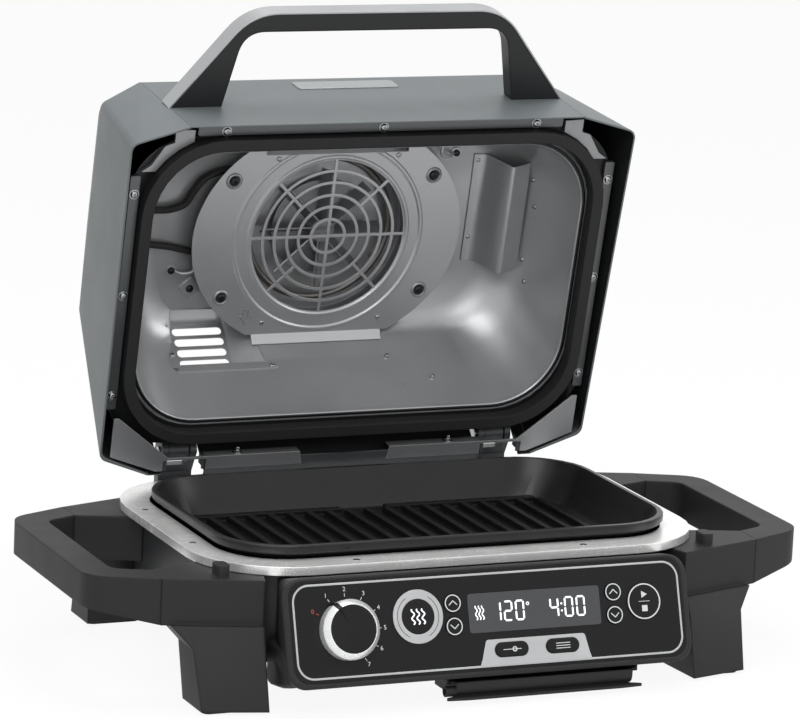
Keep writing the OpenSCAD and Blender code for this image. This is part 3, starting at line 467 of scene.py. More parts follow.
FINISHES: Dict[str, Finish] = {finish.name: finish for finish in (
    Finish("leg_plastic", "#252526", 0.52, relief_mm=0.05, wear=0.15, specular=0.22, edge_mm=3.2),
    Finish("gloss_fascia", "#131315", 0.28, relief_mm=0.002, tone=0.06, coat=0.02, wear=0.1, specular=0.2),
    Finish("button_black", "#101011", 0.36, relief_mm=0.006, tone=0.08, edge_mm=0.5, specular=0.22),
    Brushed("bright_trim", "#b6b7b8", 0.36, 0.9, grain_mm=0.5, relief_mm=0.004, edge_mm=0.5, wear=0.1),
    Brushed("stainless", "#f4f4f3", 0.26, 0.6, grain_mm=0.45, relief_mm=0.006, wear=0.15, edge_mm=1.0),
    Speckled("nonstick", "#151516", 0.30, grain_mm=0.5, relief_mm=0.012, wear=0.3, edge_mm=1.2, specular=0.32,
             fleck="#3c3c3d"),
    Lined("lid_paint", "#63686a", 0.44, 0.15, grain_mm=0.7, relief_mm=0.012, tone=0.05, wear=0.25,
          edge_mm=1.2, specular=0.3),
    Decked("liner_metal", "#b0b1b3", 0.32, 0.66, grain_mm=0.8, relief_mm=0.008, tone=0.06, wear=0.2),
    Finish("light_plate", "#929395", 0.38, 0.7, grain_mm=0.8, relief_mm=0.006, tone=0.06, wear=0.5),
    Finish("dark_strip", "#5e6062", 0.32, 0.7, grain_mm=0.7, relief_mm=0.008, tone=0.06, wear=0.4),
    Finish("seal", "#1a1a1b", 0.62, grain_mm=0.9, relief_mm=0.05, wear=0.08, edge_mm=2.0, specular=0.3),
    Finish("tub_paint", "#2a2b2d", 0.42, 0.1, grain_mm=0.8, relief_mm=0.02, edge_mm=1.0),
    Finish("handle_black", "#1a1b1c", 0.40, grain_mm=0.8, relief_mm=0.03, wear=0.2, edge_mm=3.0, specular=0.35),
    Brushed("band", "#a9abad", 0.32, 0.9, grain_mm=0.5, relief_mm=0.006, wear=0.2, edge_mm=0.5),
    Finish("glass", "#343537", 0.20, relief_mm=0.001, tone=0.05, coat=0.3, edge_mm=0.4),
    Finish("board", "#1f4a2c", 0.40, grain_mm=1.5, relief_mm=0.02),
    Speckled("element", "#7d7a77", 0.40, 0.8, grain_mm=1.0, relief_mm=0.03, fleck="#a5a19c"),
    Finish("motor", "#5a5c5f", 0.40, 0.7, grain_mm=1.0, relief_mm=0.02),
    Finish("bracket_steel", "#46484a", 0.42, 0.4, grain_mm=0.9, relief_mm=0.02, edge_mm=1.0),
    Brushed("screw_steel", "#a4a6a8", 0.26, 1.0, grain_mm=0.4, relief_mm=0.004, edge_mm=0.3),
)}
PRINT_WHITE = Printed("print_white", "#c9cbcc", 0.45, grain_mm=0.4, tone=0.05)
PRINT_RED = Printed("print_red", "#b4473f", 0.45, grain_mm=0.4, tone=0.06)
SEGMENT_WHITE = Printed("segment_white", "#eef2f6", 0.4, grain_mm=0.6, tone=0.04, glow=0.55)
DARK_SCREW = Finish("dark_screw", "#26272a", 0.30, 0.6, grain_mm=0.5, relief_mm=0.004, edge_mm=0.3, wear=0.6)
SLEEVE = Finish("woven_sleeve", "#1b1b1c", 0.66, grain_mm=1.4, relief_mm=0.25, wear=0.1, specular=0.3)
CHROME = Brushed("dial_chrome", "#e9eaeb", 0.26, 0.6, grain_mm=0.5, relief_mm=0.002, edge_mm=0.3, wear=0.1)
BARE_PLATE = Brushed("bare_plate", "#9b9ea0", 0.30, 0.8, grain_mm=0.5, relief_mm=0.004, wear=0.3)


def join_rings(bm: bmesh.types.BMesh, rings: Sequence[Sequence[bmesh.types.BMVert]]) -> None:
    """Fills the wall between rings of points that follow each other.

    Args:
        bm: The mesh.
        rings: Rings of equal counts; a ring of one point closes to a tip.
    """
    for low, high in zip(rings, rings[1:]):
        count = max(len(low), len(high))
        for k in range(count):
            near, far = k, (k + 1) % count
            corners = [low[near % len(low)], low[far % len(low)], high[far % len(high)], high[near % len(high)]]
            bm.faces.new(list(dict.fromkeys(corners)))


def cap_rings(bm: bmesh.types.BMesh, rings: Sequence[Sequence[bmesh.types.BMVert]]) -> None:
    """Fills the wall between rings of points and closes both ends."""
    join_rings(bm, rings)
    bm.faces.new(rings[0])
    bm.faces.new(rings[-1])


def add_prism(bm: bmesh.types.BMesh, outline: Sequence[Point], low: float, high: float, place: Matrix) -> None:
    """Adds a straight slab.

    Args:
        bm: The mesh.
        outline: Its outline in millimetres.
        low: Height of its underside.
        high: Height of its top.
        place: Where it goes.
    """
    cap_rings(bm, [[bm.verts.new(place @ Vector((x, y, z))) for x, y in outline] for z in (low, high)])


def add_lathe(bm: bmesh.types.BMesh, profile: Sequence[Point], place: Matrix, steps: int = 32) -> None:
    """Adds a turned piece.

    Args:
        bm: The mesh.
        profile: Radius and height of each ring, closed at both ends or back on itself.
        place: Where its axis stands.
        steps: Points in a ring.
    """
    rings = []
    for radius, height in profile:
        if radius < 1e-6:
            rings.append([bm.verts.new(place @ Vector((0, 0, height)))])
            continue
        turns = [2 * math.pi * k / steps for k in range(steps)]
        rings.append([bm.verts.new(place @ Vector((radius * math.cos(a), radius * math.sin(a), height)))
                      for a in turns])
    join_rings(bm, rings)


def add_hoop(bm: bmesh.types.BMesh, inner: float, outer: float, low: float, high: float, place: Matrix,
             steps: int = 48) -> None:
    """Adds a flat ring with square edges."""
    add_lathe(bm, ((inner, low), (outer, low), (outer, high), (inner, high), (inner, low)), place, steps)


def add_tube(bm: bmesh.types.BMesh, path: Sequence[Vector], radius: float, sides: int = 12,
             closed: bool = False) -> None:
    """Adds a round tube along a path.

    Args:
        bm: The mesh.
        path: Points in metres.
        radius: Radius in metres.
        sides: Points in a ring.
        closed: True if the path goes back to its start.
    """
    rings = []
    across = Vector((0.37, 0.51, 0.78))
    last = len(path) - 1
    for i, spot in enumerate(path):
        before, after = (path[i - 1], path[(i + 1) % len(path)]) if closed else (path[max(i - 1, 0)],
                                                                                 path[min(i + 1, last)])
        ahead = (after - before).normalized()
        across = (across - ahead * across.dot(ahead)).normalized()
        other = ahead.cross(across)
        turns = [2 * math.pi * k / sides for k in range(sides)]
        rings.append([bm.verts.new(spot + radius * (math.cos(a) * across + math.sin(a) * other)) for a in turns])
    if closed:
        join_rings(bm, rings + rings[:1])
    else:
        cap_rings(bm, rings)


def rounded_box(half_x: float, half_y: float, radius: float, steps: int = 6) -> List[Point]:
    """Outline of a box with round corners about the origin.

    Args:
        half_x: Half its width.
        half_y: Half its height.
        radius: Radius of its corners.
        steps: Pieces in a corner.

    Returns:
        The outline.
    """
    outline = []
    for k, (side, end) in enumerate(((1, 1), (-1, 1), (-1, -1), (1, -1))):
        for j in range(steps + 1):
            angle = math.radians(90 * k + 90 * j / steps)
            outline.append((side * (half_x - radius) + radius * math.cos(angle),
                            end * (half_y - radius) + radius * math.sin(angle)))
    return outline


def smooth_path(points: Sequence[Vector], steps: int = 6) -> List[Vector]:
    """A smooth curve through some points.

    Args:
        points: The points to pass.
        steps: Pieces between two of them.

    Returns:
        Points along the curve.
    """
    ends = [points[0] * 2 - points[1], *points, points[-1] * 2 - points[-2]]
    curve = []
    for a, b, c, d in zip(ends, ends[1:], ends[2:], ends[3:]):
        for k in range(steps):
            t = k / steps
            curve.append(0.5 * (2 * b + (c - a) * t + (2 * a - 5 * b + 4 * c - d) * t * t
                                + (3 * b - a - 3 * c + d) * t ** 3))
    return curve + [points[-1]]


def pen_line(points: Sequence[Point], width: float) -> List[Point]:
    """Outline of an open line drawn with a pen.

    Args:
        points: Its corners.
        width: Width of the pen.

    Returns:
        The outline.
    """
    left, right = [], []
    for i, (x, y) in enumerate(points):
        before = Vector(points[max(i - 1, 0)])
        after = Vector(points[min(i + 1, len(points) - 1)])
        here = Vector((x, y))
        first = (here - before).normalized() if i else (after - here).normalized()
        last = (after - here).normalized() if i < len(points) - 1 else first
        normal = Vector((-first.y - last.y, first.x + last.x))
        normal *= width / normal.length_squared
        left.append((x + normal.x, y + normal.y))
        right.append((x - normal.x, y - normal.y))
    return left + right[::-1]


def vapour(left: float, sway: float, low: float, rise: float) -> List[Point]:
    """Wavy line of a vapour sign.

    Args:
        left: Where it stands.
        sway: How far it swings to each side.
        low: Its lower end.
        rise: How much it climbs in a step.

    Returns:
        Points along it.
    """
    return [(left + sway * math.sin(t * 0.7), low + t * rise) for t in range(18)]


def add_screw(bm: bmesh.types.BMesh, radius: float, height: float, place: Matrix) -> None:
    """Adds a low round head with a cross recess.

    Args:
        bm: The mesh.
        radius: Radius of the head.
        height: Height of the head.
        place: Where it sits.
    """
    steps = 16
    cross = (0.52, 0.22, 0.16, 0.22)
    rows = ((1.0, 0.0, False), (1.0, 0.35, False), (0.93, 0.66, False), (0.78, 0.90, False), (0.6, 1.0, False),
            (1.0, 1.0, True), (0.7, 0.45, True))
    rings = []
    for share, level, recess in rows:
        ring = []
        for k in range(steps):
            reach = radius * share * (cross[k % 4] if recess else 1.0)
            angle = 2 * math.pi * k / steps
            spot = Vector((reach * math.cos(angle), reach * math.sin(angle), height * level))
            ring.append(bm.verts.new(place @ spot))
        rings.append(ring)
    rings.append([bm.verts.new(place @ Vector((0, 0, height * 0.35)))])
    join_rings(bm, rings)
    bm.faces.new(rings[0])


def add_numeral(bm: bmesh.types.BMesh, text: str, size: float, place: Matrix) -> None:
    """Adds plain figures as a thin print.

    Args:
        bm: The mesh.
        text: The figures.
        size: Height of a line in millimetres.
        place: Where their middle goes.
    """
    curve = bpy.data.curves.new("figures", "FONT")
    curve.body = text
    curve.size = size
    curve.extrude = PRINT_HALF
    curve.align_x = "CENTER"
    curve.align_y = "CENTER"
    holder = bpy.data.objects.new("figures", curve)
    bpy.context.scene.collection.objects.link(holder)
    mesh = bpy.data.meshes.new_from_object(holder.evaluated_get(bpy.context.evaluated_depsgraph_get()))
    mesh.transform(place)
    bm.from_mesh(mesh)
    bpy.data.objects.remove(holder)
    bpy.data.curves.remove(curve)
    bpy.data.meshes.remove(mesh)


def put_on(name: str, bm: bmesh.types.BMesh, body: str, slot: str, replaces: Sequence[str] = (),
           finish: Optional[Finish] = None) -> None:
    """Turns a mesh into a piece of the part.

    Args:
        name: Name of the piece.
        bm: Its mesh, which is freed.
        body: The body that it moves with.
        slot: The record's material slot.
        replaces: Solids that it stands for.
        finish: What it is made of, where that isn't the slot's own finish.
    """
    bmesh.ops.remove_doubles(bm, verts=bm.verts, dist=WELD)
    bmesh.ops.recalc_face_normals(bm, faces=bm.faces)
    mesh = bpy.data.meshes.new(name)
    bm.to_mesh(mesh)
    bm.free()
    mesh.shade_smooth()
    mesh.set_sharp_from_angle(angle=SHARP)
    mesh.materials.append((finish or FINISHES[slot]).material())
    piece = bpy.data.objects.new(name, mesh)
    bpy.context.scene.collection.objects.link(piece)
    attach(piece, body)
    if replaces:
        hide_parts(*replaces)
    LOG.info("piece %s on %s: %d faces", name, body, len(mesh.polygons))


class Shading(Enum):
    """How the facets of a solid are shown."""

    CRISP = 22.0
    SOFT = 38.0


@dataclass
class SolidSkins:
    """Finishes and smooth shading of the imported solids."""

    weld_mm: float = 0.01
    soft_nodes: Tuple[str, ...] = ("lid_liner", "grill_plate", "lower_element", "panel_housing")

    def smoothing(self, shading: Shading) -> bpy.types.NodeTree:
        """Node group that welds a solid's facets and shades shallow edges smooth.

        Args:
            shading: Which edges stay sharp.

        Returns:
            The group, made once for each kind.
        """
        name = "facets_" + shading.name.lower()
        known = bpy.data.node_groups.get(name)
        if known:
            return known
        group = bpy.data.node_groups.new(name, "GeometryNodeTree")
        group.interface.new_socket("Geometry", in_out="INPUT", socket_type="NodeSocketGeometry")
        group.interface.new_socket("Geometry", in_out="OUTPUT", socket_type="NodeSocketGeometry")
        nodes = Nodes(group)
        start = nodes.node("NodeGroupInput", {}, {})
        weld = nodes.node("GeometryNodeMergeByDistance", {}, {"Geometry": start.outputs[0],
                                                              "Distance": self.weld_mm * MM})
        plain = nodes.node("GeometryNodeRemoveAttribute", {}, {"Geometry": weld.outputs[0], "Name": "custom_normal"})
        smooth = nodes.node("GeometryNodeSetShadeSmooth", {"domain": "FACE"}, {
            "Geometry": plain.outputs[0], "Shade Smooth": True})
        angle = nodes.node("GeometryNodeInputMeshEdgeAngle", {}, {})
        sharp = nodes.value("ShaderNodeMath", {"operation": "GREATER_THAN"}, {
            0: angle.outputs[0], 1: math.radians(shading.value)})
        crisp = nodes.node("GeometryNodeSetShadeSmooth", {"domain": "EDGE"}, {
            "Geometry": smooth.outputs[0], "Selection": sharp, "Shade Smooth": False})
        nodes.node("NodeGroupOutput", {}, {0: crisp.outputs[0]})
        return group

    def dress(self) -> None:
        """Gives every solid its finish and its shading."""
        for row in frame["record"]["subparts"]:
            name, slot = row["node"], row["material_slot"]
            solid = frame["nodes"][name]
            solid.data.materials.clear()
            solid.data.materials.append(FINISHES[slot].material())
            shading = Shading.SOFT if name in self.soft_nodes else Shading.CRISP
            modifier = solid.modifiers.new("facets", "NODES")
            modifier.node_group = self.smoothing(shading)
            LOG.info("solid %s in %s", name, slot)


class Arrow(Enum):
    """Which way a key's chevron points."""

    UP = 1.0
    DOWN = -1.0


@dataclass
class ControlPanel:
    """Print, marks and lit figures of the control panel."""

    dial_at: Point = (-140.3, 42.4)
    dial_r: float = 27.2
    dial_h: float = 16.0
    marks: int = 8
    first_mark: float = -60.0
    mark_step: float = 30.0
    tick: Tuple[float, float] = (30.0, 33.0)
    figure_r: float = 36.6
    figure_size: float = 5.6
    tick_pen: float = 0.55
    pointer_spin: float = 30.0
    pointer_half: float = 2.2
    smoke_at: Point = (-71.5, 49.9)
    smoke_z: Point = (1.5, 2.05)
    bezel_r: Tuple[float, float] = (16.0, 24.3)
    bezel_top: float = 1.4
    temp_x: float = -36.6
    time_x: float = 123.5
    key_v: Tuple[float, float] = (59.7, 38.8)
    key_ring: Tuple[float, float] = (6.85, 7.8)
    key_top: float = 1.25
    # Half width, foot and tip of a chevron
    chevron_line: Spot = (4.0, 1.7, 2.1)
    chevron_pen: float = 0.85
    start_at: Point = (154.0, 49.2)
    start_ring: Tuple[float, float] = (15.2, 16.4)
    start_z: Tuple[float, float] = (1.1, 1.62)
    bar_z: float = 1.2
    run_sign: Tuple[Point, ...] = ((-2.4, 3.2), (3.4, 6.4), (-2.4, 9.6))
    halt_sign: Tuple[Point, ...] = ((-2.8, -9.2), (2.8, -9.2), (2.8, -3.6), (-2.8, -3.6))
    start_bar: Tuple[Point, Point] = ((-5.5, 0.0), (5.5, 0.0))
    ring_z: Tuple[float, float] = (0.6, 1.45)
    line_half: Point = (194.0, 45.5)
    line_v: float = 42.5
    line_in: Tuple[float, float] = (2.9, 4.9)
    line_round: float = 19.0
    line_t: float = 0.4
    line_edge: float = 0.15
    plate_foot: Tuple[Point, ...] = ((-14.2, 1.2), (97.0, 1.2), (95.4, 6.6), (-12.2, 6.6))
    foot_t: float = 0.78
    pill_at: Tuple[Point, Point] = ((17.7, 14.7), (68.4, 14.7))
    pill_top: float = 2.2
    knob_r: Tuple[float, float] = (1.4, 2.4)
    knob_x: float = 2.5
    knob_t: float = 0.14
    window_top: float = 0.3
    figure_v: float = 49.4
    figure_box: Point = (7.4, 17.0)
    figures: Tuple[Tuple[str, float], ...] = (("1", 2.6), ("2", 14.0), ("0", 25.6), ("4", 60.0), ("0", 74.6),
                                              ("0", 86.4))
    bar_half: float = 0.85
    bar_gap: float = 0.35
    bar_tip: float = 0.8
    colon_at: Point = (71.0, 3.2)
    colon_r: float = 0.95
    degree_at: Point = (37.4, 5.4)
    degree_r: Tuple[float, float] = (0.9, 1.6)
    print_t: float = 2 * PRINT_HALF

    def dial_marks(self) -> None:
        """Ticks and figures round the dial, the first of each in red."""
        for name, finish, chosen in (("dial_zero", PRINT_RED, range(1)),
                                     ("dial_figures", PRINT_WHITE, range(1, self.marks))):
            bm = bmesh.new()
            for i in chosen:
                angle = math.radians(self.first_mark + self.mark_step * i)
                way = Vector((math.sin(angle), math.cos(angle)))
                ends = [tuple(Vector(self.dial_at) + way * r) for r in self.tick]
                add_prism(bm, pen_line(ends, self.tick_pen), 0.0, self.print_t, PANEL.place(0, 0))
                spot = Vector(self.dial_at) + way * self.figure_r
                add_numeral(bm, str(i), self.figure_size, PANEL.place(spot.x, spot.y, PRINT_HALF))
            put_on(name, bm, "base", "gloss_fascia", finish=finish)

    def dial_skirt(self) -> None:
        """Bright tapered skirt round the dial's cap."""
        bm = bmesh.new()
        rim, top = self.dial_r, self.dial_h
        add_lathe(bm, ((rim - 2.0, 0.6), (rim, 0.6), (rim, top - 6.2), (rim - 0.2, top - 5.4), (rim - 4.7, top - 0.5),
                       (rim - 5.2, top - 0.5), (rim - 5.4, top - 1.1), (rim - 2.0, 0.6)),
                  PANEL.place(*self.dial_at), 96)
        put_on("dial_skirt", bm, "dial", "bright_trim", ("dial_ring",), finish=CHROME)

    def dial_pointer(self) -> None:
        """Pointer block across the dial's skirt and a fine line on its cap."""
        bm = bmesh.new()
        place = PANEL.place(*self.dial_at, spin=self.pointer_spin)
        rim, top = self.dial_r, self.dial_h
        across = place @ Matrix.Rotation(math.radians(90), 4, "Y") @ Matrix.Rotation(math.radians(90), 4, "Z")
        side = ((rim + 0.1, 0.7), (rim + 0.1, top - 6.1), (rim - 0.1, top - 5.1), (rim - 4.6, top - 0.2),
                (rim - 6.4, top - 0.4), (rim - 6.4, 0.7))
        add_prism(bm, side, -self.pointer_half, self.pointer_half, across)
        add_prism(bm, pen_line(((0, 9.0), (0, 20.5)), 0.7), top - 0.9, top - 0.05, place)
        put_on("dial_pointer", bm, "dial", "button_black")

    def outline(self) -> None:
        """Thin bright line round the fascia, with the foot of the silver plate that meets it."""
        bm = bmesh.new()
        place = PANEL.place(0, self.line_v)
        near, far = self.line_in
        rings = []
        for inset, level in ((near, 0.0), (near + self.line_edge, self.line_t),
                             (far - self.line_edge, self.line_t), (far, 0.0)):
            loop = rounded_box(self.line_half[0] - inset, self.line_half[1] - inset, self.line_round - inset, 12)
            rings.append([bm.verts.new(place @ Vector((x, y, level))) for x, y in loop])
        join_rings(bm, rings + rings[:1])
        add_prism(bm, self.plate_foot, 0.0, self.foot_t, PANEL.place(0, 0))
        put_on("panel_outline", bm, "base", "bright_trim", ("panel_line",))

    def bezel_marks(self) -> None:
        """Engraved arcs on the smoke bezel."""
        bm = bmesh.new()
        middle = sum(self.bezel_r) / 2
        for side in (-1, 1):
            arc = [(self.smoke_at[0] + side * middle * math.cos(a), self.smoke_at[1] + middle * math.sin(a))
                   for a in (math.radians(-62 + 7.5 * k) for k in range(17))]
            add_prism(bm, pen_line(arc, 0.5), self.bezel_top - 0.1, self.bezel_top + 0.08, PANEL.place(0, 0))
        put_on("bezel_arcs", bm, "base", "bright_trim", finish=FINISHES["button_black"])

    def chevron(self, body: str, x: float, v: float, arrow: Arrow) -> None:
        """Printed chevron and ring on an arrow key.

        Args:
            body: The key's body.
            x: Where the key is, to the right.
            v: Where the key is, up the panel.
            arrow: Which way it points.
        """
        bm = bmesh.new()
        half, foot, tip = self.chevron_line
        lines = [(-half, -foot * arrow.value), (0.0, tip * arrow.value), (half, -foot * arrow.value)]
        add_prism(bm, pen_line(lines, self.chevron_pen), self.key_top - 0.2, self.key_top + 0.36, PANEL.place(x, v))
        add_hoop(bm, *self.key_ring, *self.ring_z, PANEL.place(x, v))
        put_on(body + "_chevron", bm, body, "button_black", finish=PRINT_WHITE)

    def smoke_sign(self) -> None:
        """Lit vapour sign on the smoke key."""
        bm = bmesh.new()
        for k in (-1, 0, 1):
            wave = vapour(5.0 * k, 1.4, -7.0, 0.82)
            add_prism(bm, pen_line(wave, 1.2), *self.smoke_z, PANEL.place(*self.smoke_at))
        put_on("smoke_sign", bm, "smoke_button_key", "button_black", finish=SEGMENT_WHITE)

    def start_sign(self) -> None:
        """Run and halt signs on the start key, and a ring round them."""
        bm = bmesh.new()
        place = PANEL.place(*self.start_at)
        add_prism(bm, self.run_sign, *self.start_z, place)
        add_prism(bm, pen_line(self.start_bar, 0.45), self.bar_z, self.start_z[1], place)
        add_prism(bm, self.halt_sign, *self.start_z, place)
        add_hoop(bm, *self.start_ring, *self.ring_z, place, 64)
        put_on("start_sign", bm, "start_button_key", "button_black", finish=PRINT_WHITE)

    def pill_signs(self) -> None:
        """A slider on the first pill key and a list on the second."""
        top = self.pill_top
        (x, v), second = self.pill_at
        bm = bmesh.new()
        add_prism(bm, pen_line(((-9.0, 0.0), (9.0, 0.0)), 0.6), top, top + self.print_t, PANEL.place(x, v))
        add_hoop(bm, *self.knob_r, top, top + self.knob_t, PANEL.place(x + self.knob_x, v), 24)
        put_on("manual_sign", bm, "manual_button_key", "button_black", finish=PRINT_WHITE)
        bm = bmesh.new()
        for k in (-1, 0, 1):
            line = ((-7.0, 2.3 * k), (7.0, 2.3 * k))
            add_prism(bm, pen_line(line, 0.7), top, top + self.print_t, PANEL.place(*second))
        put_on("preset_sign", bm, "preset_button_key", "button_black", finish=PRINT_WHITE)

    def segments(self, bm: bmesh.types.BMesh, figure: str, x: float, width: float, height: float) -> None:
        """Adds one figure of the display, as lit bars.

        Args:
            bm: The mesh.
            figure: The figure.
            x: Its left edge.
            width: Its width.
            height: Its height.
        """
        half = height / 2
        bars = {"a": ((0, half), (width, half)), "b": ((width, half), (width, 0)), "c": ((width, 0), (width, -half)),
                "d": ((0, -half), (width, -half)), "e": ((0, 0), (0, -half)), "f": ((0, half), (0, 0)),
                "g": ((0, 0), (width, 0))}
        lit = {"0": "abcdef", "1": "bc", "2": "abged", "4": "fgbc"}[figure]
        for name in lit:
            one, two = (Vector(p) for p in bars[name])
            way = (two - one).normalized()
            side, tip = Vector((-way.y, way.x)) * self.bar_half, way * self.bar_tip
            one, two = one + way * self.bar_gap, two - way * self.bar_gap
            ends = [one, one + tip + side, two - tip + side, two, two - tip - side, one + tip - side]
            add_prism(bm, [(p.x + x, p.y) for p in ends], 0.0, self.print_t,
                      PANEL.place(0, self.figure_v, self.window_top))

    def display(self) -> None:
        """Lit figures of temperature and time, and a vapour sign."""
        bm = bmesh.new()
        for figure, x in self.figures:
            self.segments(bm, figure, x, *self.figure_box)
        x, rise = self.colon_at
        for v in (-rise, rise):
            add_lathe(bm, ((0, 0), (self.colon_r, 0), (self.colon_r, self.print_t), (0, self.print_t)),
                      PANEL.place(x, self.figure_v + v, self.window_top), 16)
        x, rise = self.degree_at
        add_hoop(bm, *self.degree_r, 0.0, self.print_t, PANEL.place(x, self.figure_v + rise, self.window_top), 20)
        for k in (-1, 0, 1):
            wave = vapour(-10.6 + 3.2 * k, 0.9, -6.4, 0.75)
            add_prism(bm, pen_line(wave, 1.1), 0.0, self.print_t, PANEL.place(0, self.figure_v, self.window_top))
        put_on("display_figures", bm, "base", "glass", finish=SEGMENT_WHITE)

    def build(self) -> None:
        """Makes everything on the panel."""
        self.dial_marks()
        self.dial_skirt()
        self.dial_pointer()
        self.outline()
        self.bezel_marks()
        for stem, x in (("temp", self.temp_x), ("time", self.time_x)):
            self.chevron(stem + "_up_key", x, self.key_v[0], Arrow.UP)
            self.chevron(stem + "_down_key", x, self.key_v[1], Arrow.DOWN)
        self.smoke_sign()
        self.start_sign()
        self.pill_signs()
        self.display()


@dataclass
class LidInside:
    """Screws, leads, probes, rolled lip, baffle, bracket edges and pressed marks inside the lid."""

    strip_d: float = 16.0
    strip_s: float = 330.2
    strip_x: Tuple[float, ...] = (-158.0, 0.0, 158.0)
    strip_head: Point = (3.8, 2.4)
    strip_washer: Tuple[float, float, float, float] = (3.6, 4.9, 0.0, 0.4)
    side_x: float = 242.9
    side_s: Tuple[float, ...] = (270.0, 168.0, 66.0)
    cover_d: float = 112.0
    cover_screw: Point = (104.0, 60.5)
    cover_head: Point = (4.7, 2.6)
    cover_seat: Tuple[Point, ...] = ((4.6, -0.3), (8.6, -0.3), (8.2, 0.4), (7.3, 1.3), (6.2, 1.5), (5.2, 0.8),
                                     (4.6, -0.3))
    fan_s: float = 180.0
    deck_d: float = 20.0
    ceiling_d: float = 128.0
    lead_r: float = 3.5
    mouth: Spot = (226.0, 30.0, 312.0)
    mouth_r: float = 70.0
    lip_r: float = 2.8
    flange_d: float = 126.5
    vent_t: float = 1.1
    cover_rivets: Tuple[Point, ...] = ((-60.5, 261.8), (64.0, 262.5), (-58.3, 91.2), (64.0, 92.0))
    flange_rivets: Tuple[Point, ...] = ((156.5, 249.0), (156.5, 168.0))
    side_rivets: Tuple[Point, ...] = ((238.0, 98.0), (211.5, 93.0), (153.5, 98.0), (132.0, 93.0))
    rear_studs: Tuple[Point, ...] = ((68.9, 89.6), (108.9, 64.5))
    # Radius and height of the heads of these fixings
    cover_rivet: Point = (2.6, 1.5)
    flange_rivet: Point = (2.3, 1.4)
    side_rivet: Point = (2.3, 1.8)
    rear_stud: Point = (2.4, 3.4)
    vent_screw: Point = (2.7, 1.8)
    lead_upper: Tuple[Spot, ...] = (
        (-187, 212, 112), (-180, 211.5, 116), (-163.6, 209.5, 121), (-148, 214, 122.5), (-140, 227, 122.5),
        (-131, 239, 122.5), (-118, 246, 122.5), (-104, 249, 122.5))
    lead_lower: Tuple[Spot, ...] = (
        (-187, 178, 112), (-180, 176, 116), (-159, 170.7, 121.5), (-139, 165.4, 122.5), (-118, 160, 122.5))
    # Way that a probe points, where it is clamped, and how far it reaches
    probe_spots: Tuple[Tuple[float, Point, float], ...] = ((1, (-152.6, 143.5), 20.0), (-1, (132.0, 257.0), -18.0))
    probe_r: float = 1.5
    probe_loop: Tuple[float, float, float, float] = (2.6, 5.4, 0.0, 1.4)
    tab_at: Point = (-131.5, 124.0)
    tab_half: float = 8.5
    arrow_at: Point = (-76.0, 97.8)
    arrow_line: Tuple[Point, ...] = (
        (-2.6, 7.8), (2.6, 7.8), (2.6, 0.6), (6.0, 0.6), (0.0, -7.4), (-6.0, 0.6), (-2.6, 0.6), (-2.6, 7.8))
    bolt_x: float = 110.0
    bolt_s: float = 1.0
    bolt_d: float = 13.5
    nut_r: float = 3.6
    bolt_end: Tuple[Point, ...] = ((0, 3.1), (2.0, 3.1), (2.0, 5.6), (1.5, 6.2), (0, 6.2))
    baffle_s: Tuple[float, float] = (143.0, 255.0)
    baffle_t: float = 1.2
    baffle_bends: Tuple[Point, ...] = (
        (152, 126.5), (158, 126.5), (162, 125.6), (165, 122.2), (168.6, 114), (172.6, 102), (176, 93), (178, 90.2),
        (181, 90.6), (188, 94), (196, 97.8), (200.5, 100))
    bracket_d: float = 8.6
    # Near and far x, low and high s, and depth of the plates that edge the hinge notches
    bracket_plates: Tuple[Tuple[float, float, float, float, float], ...] = (
        (143.0, 147.0, -12.0, -1.0, 10.3), (183.0, 187.4, -12.0, -1.0, 10.3), (143.0, 144.6, -12.0, -1.0, 24.0),
        (185.8, 187.4, -12.0, -1.0, 24.0), (0.0, 46.5, -12.0, -3.0, 10.3))
    bracket_fold: Tuple[Point, ...] = ((-11.0, -8.8), (-12.0, -8.7), (-20.0, -12.0), (-19.6, -13.4), (-11.0, -10.3))
    fold_x: float = 143.0
    # Left, right and depths of the vent's two edges
    vent_edges: Tuple[Tuple[float, float, Tuple[float, ...]], ...] = (
        (-156.8, -148.3, (82.5, 90.0, 97.0, 104.0, 111.8, 117.0, 122.6, 127.6)), (-156.0, -47.0, (82.5, 84.6, 86.8)))
    vent_cut: float = 3.0
    vent_screws: Tuple[Point, ...] = ((-152.6, 126.0), (-152.4, 100.5), (-53.5, 85.2))
    # Share of the bowl's depth, and how far its side and its rear wall have come in
    bowl: Tuple[Spot, ...] = (
        (0.0, 0.0, 0.0), (0.2, 3.0, 6.0), (0.45, 9.0, 18.0), (0.68, 18.0, 31.0), (0.85, 30.0, 42.0),
        (0.95, 44.0, 50.0), (1.0, 60.0, 62.0))

    def wall(self, depth: float, column: int) -> Tuple[float, float]:
        """Where the bowl's wall is at a depth.

        Args:
            depth: Depth from the lid's lip.
            column: 1 for the side wall, 2 for the rear wall.

        Returns:
            How far the wall has come in, and its lean from upright in degrees.
        """
        share = (depth - self.deck_d) / (self.ceiling_d - self.deck_d)
        for low, high in zip(self.bowl, self.bowl[1:]):
            if share <= high[0]:
                break
        run = (high[column] - low[column]) / (high[0] - low[0])
        lean = math.degrees(math.atan(run / (self.ceiling_d - self.deck_d)))
        return low[column] + run * (share - low[0]), lean

    def on_rear(self, x: float, depth: float, lift: float = 0.0, spin: float = 0.0) -> Matrix:
        """Place on the bowl's rear wall, its z out of the wall."""
        inset, lean = self.wall(depth, 2)
        spot = LID.place(x, self.mouth[1] + inset, -depth, turn=lean - 90.0, spin=spin)
        return spot @ Matrix.Translation((0, 0, lift))

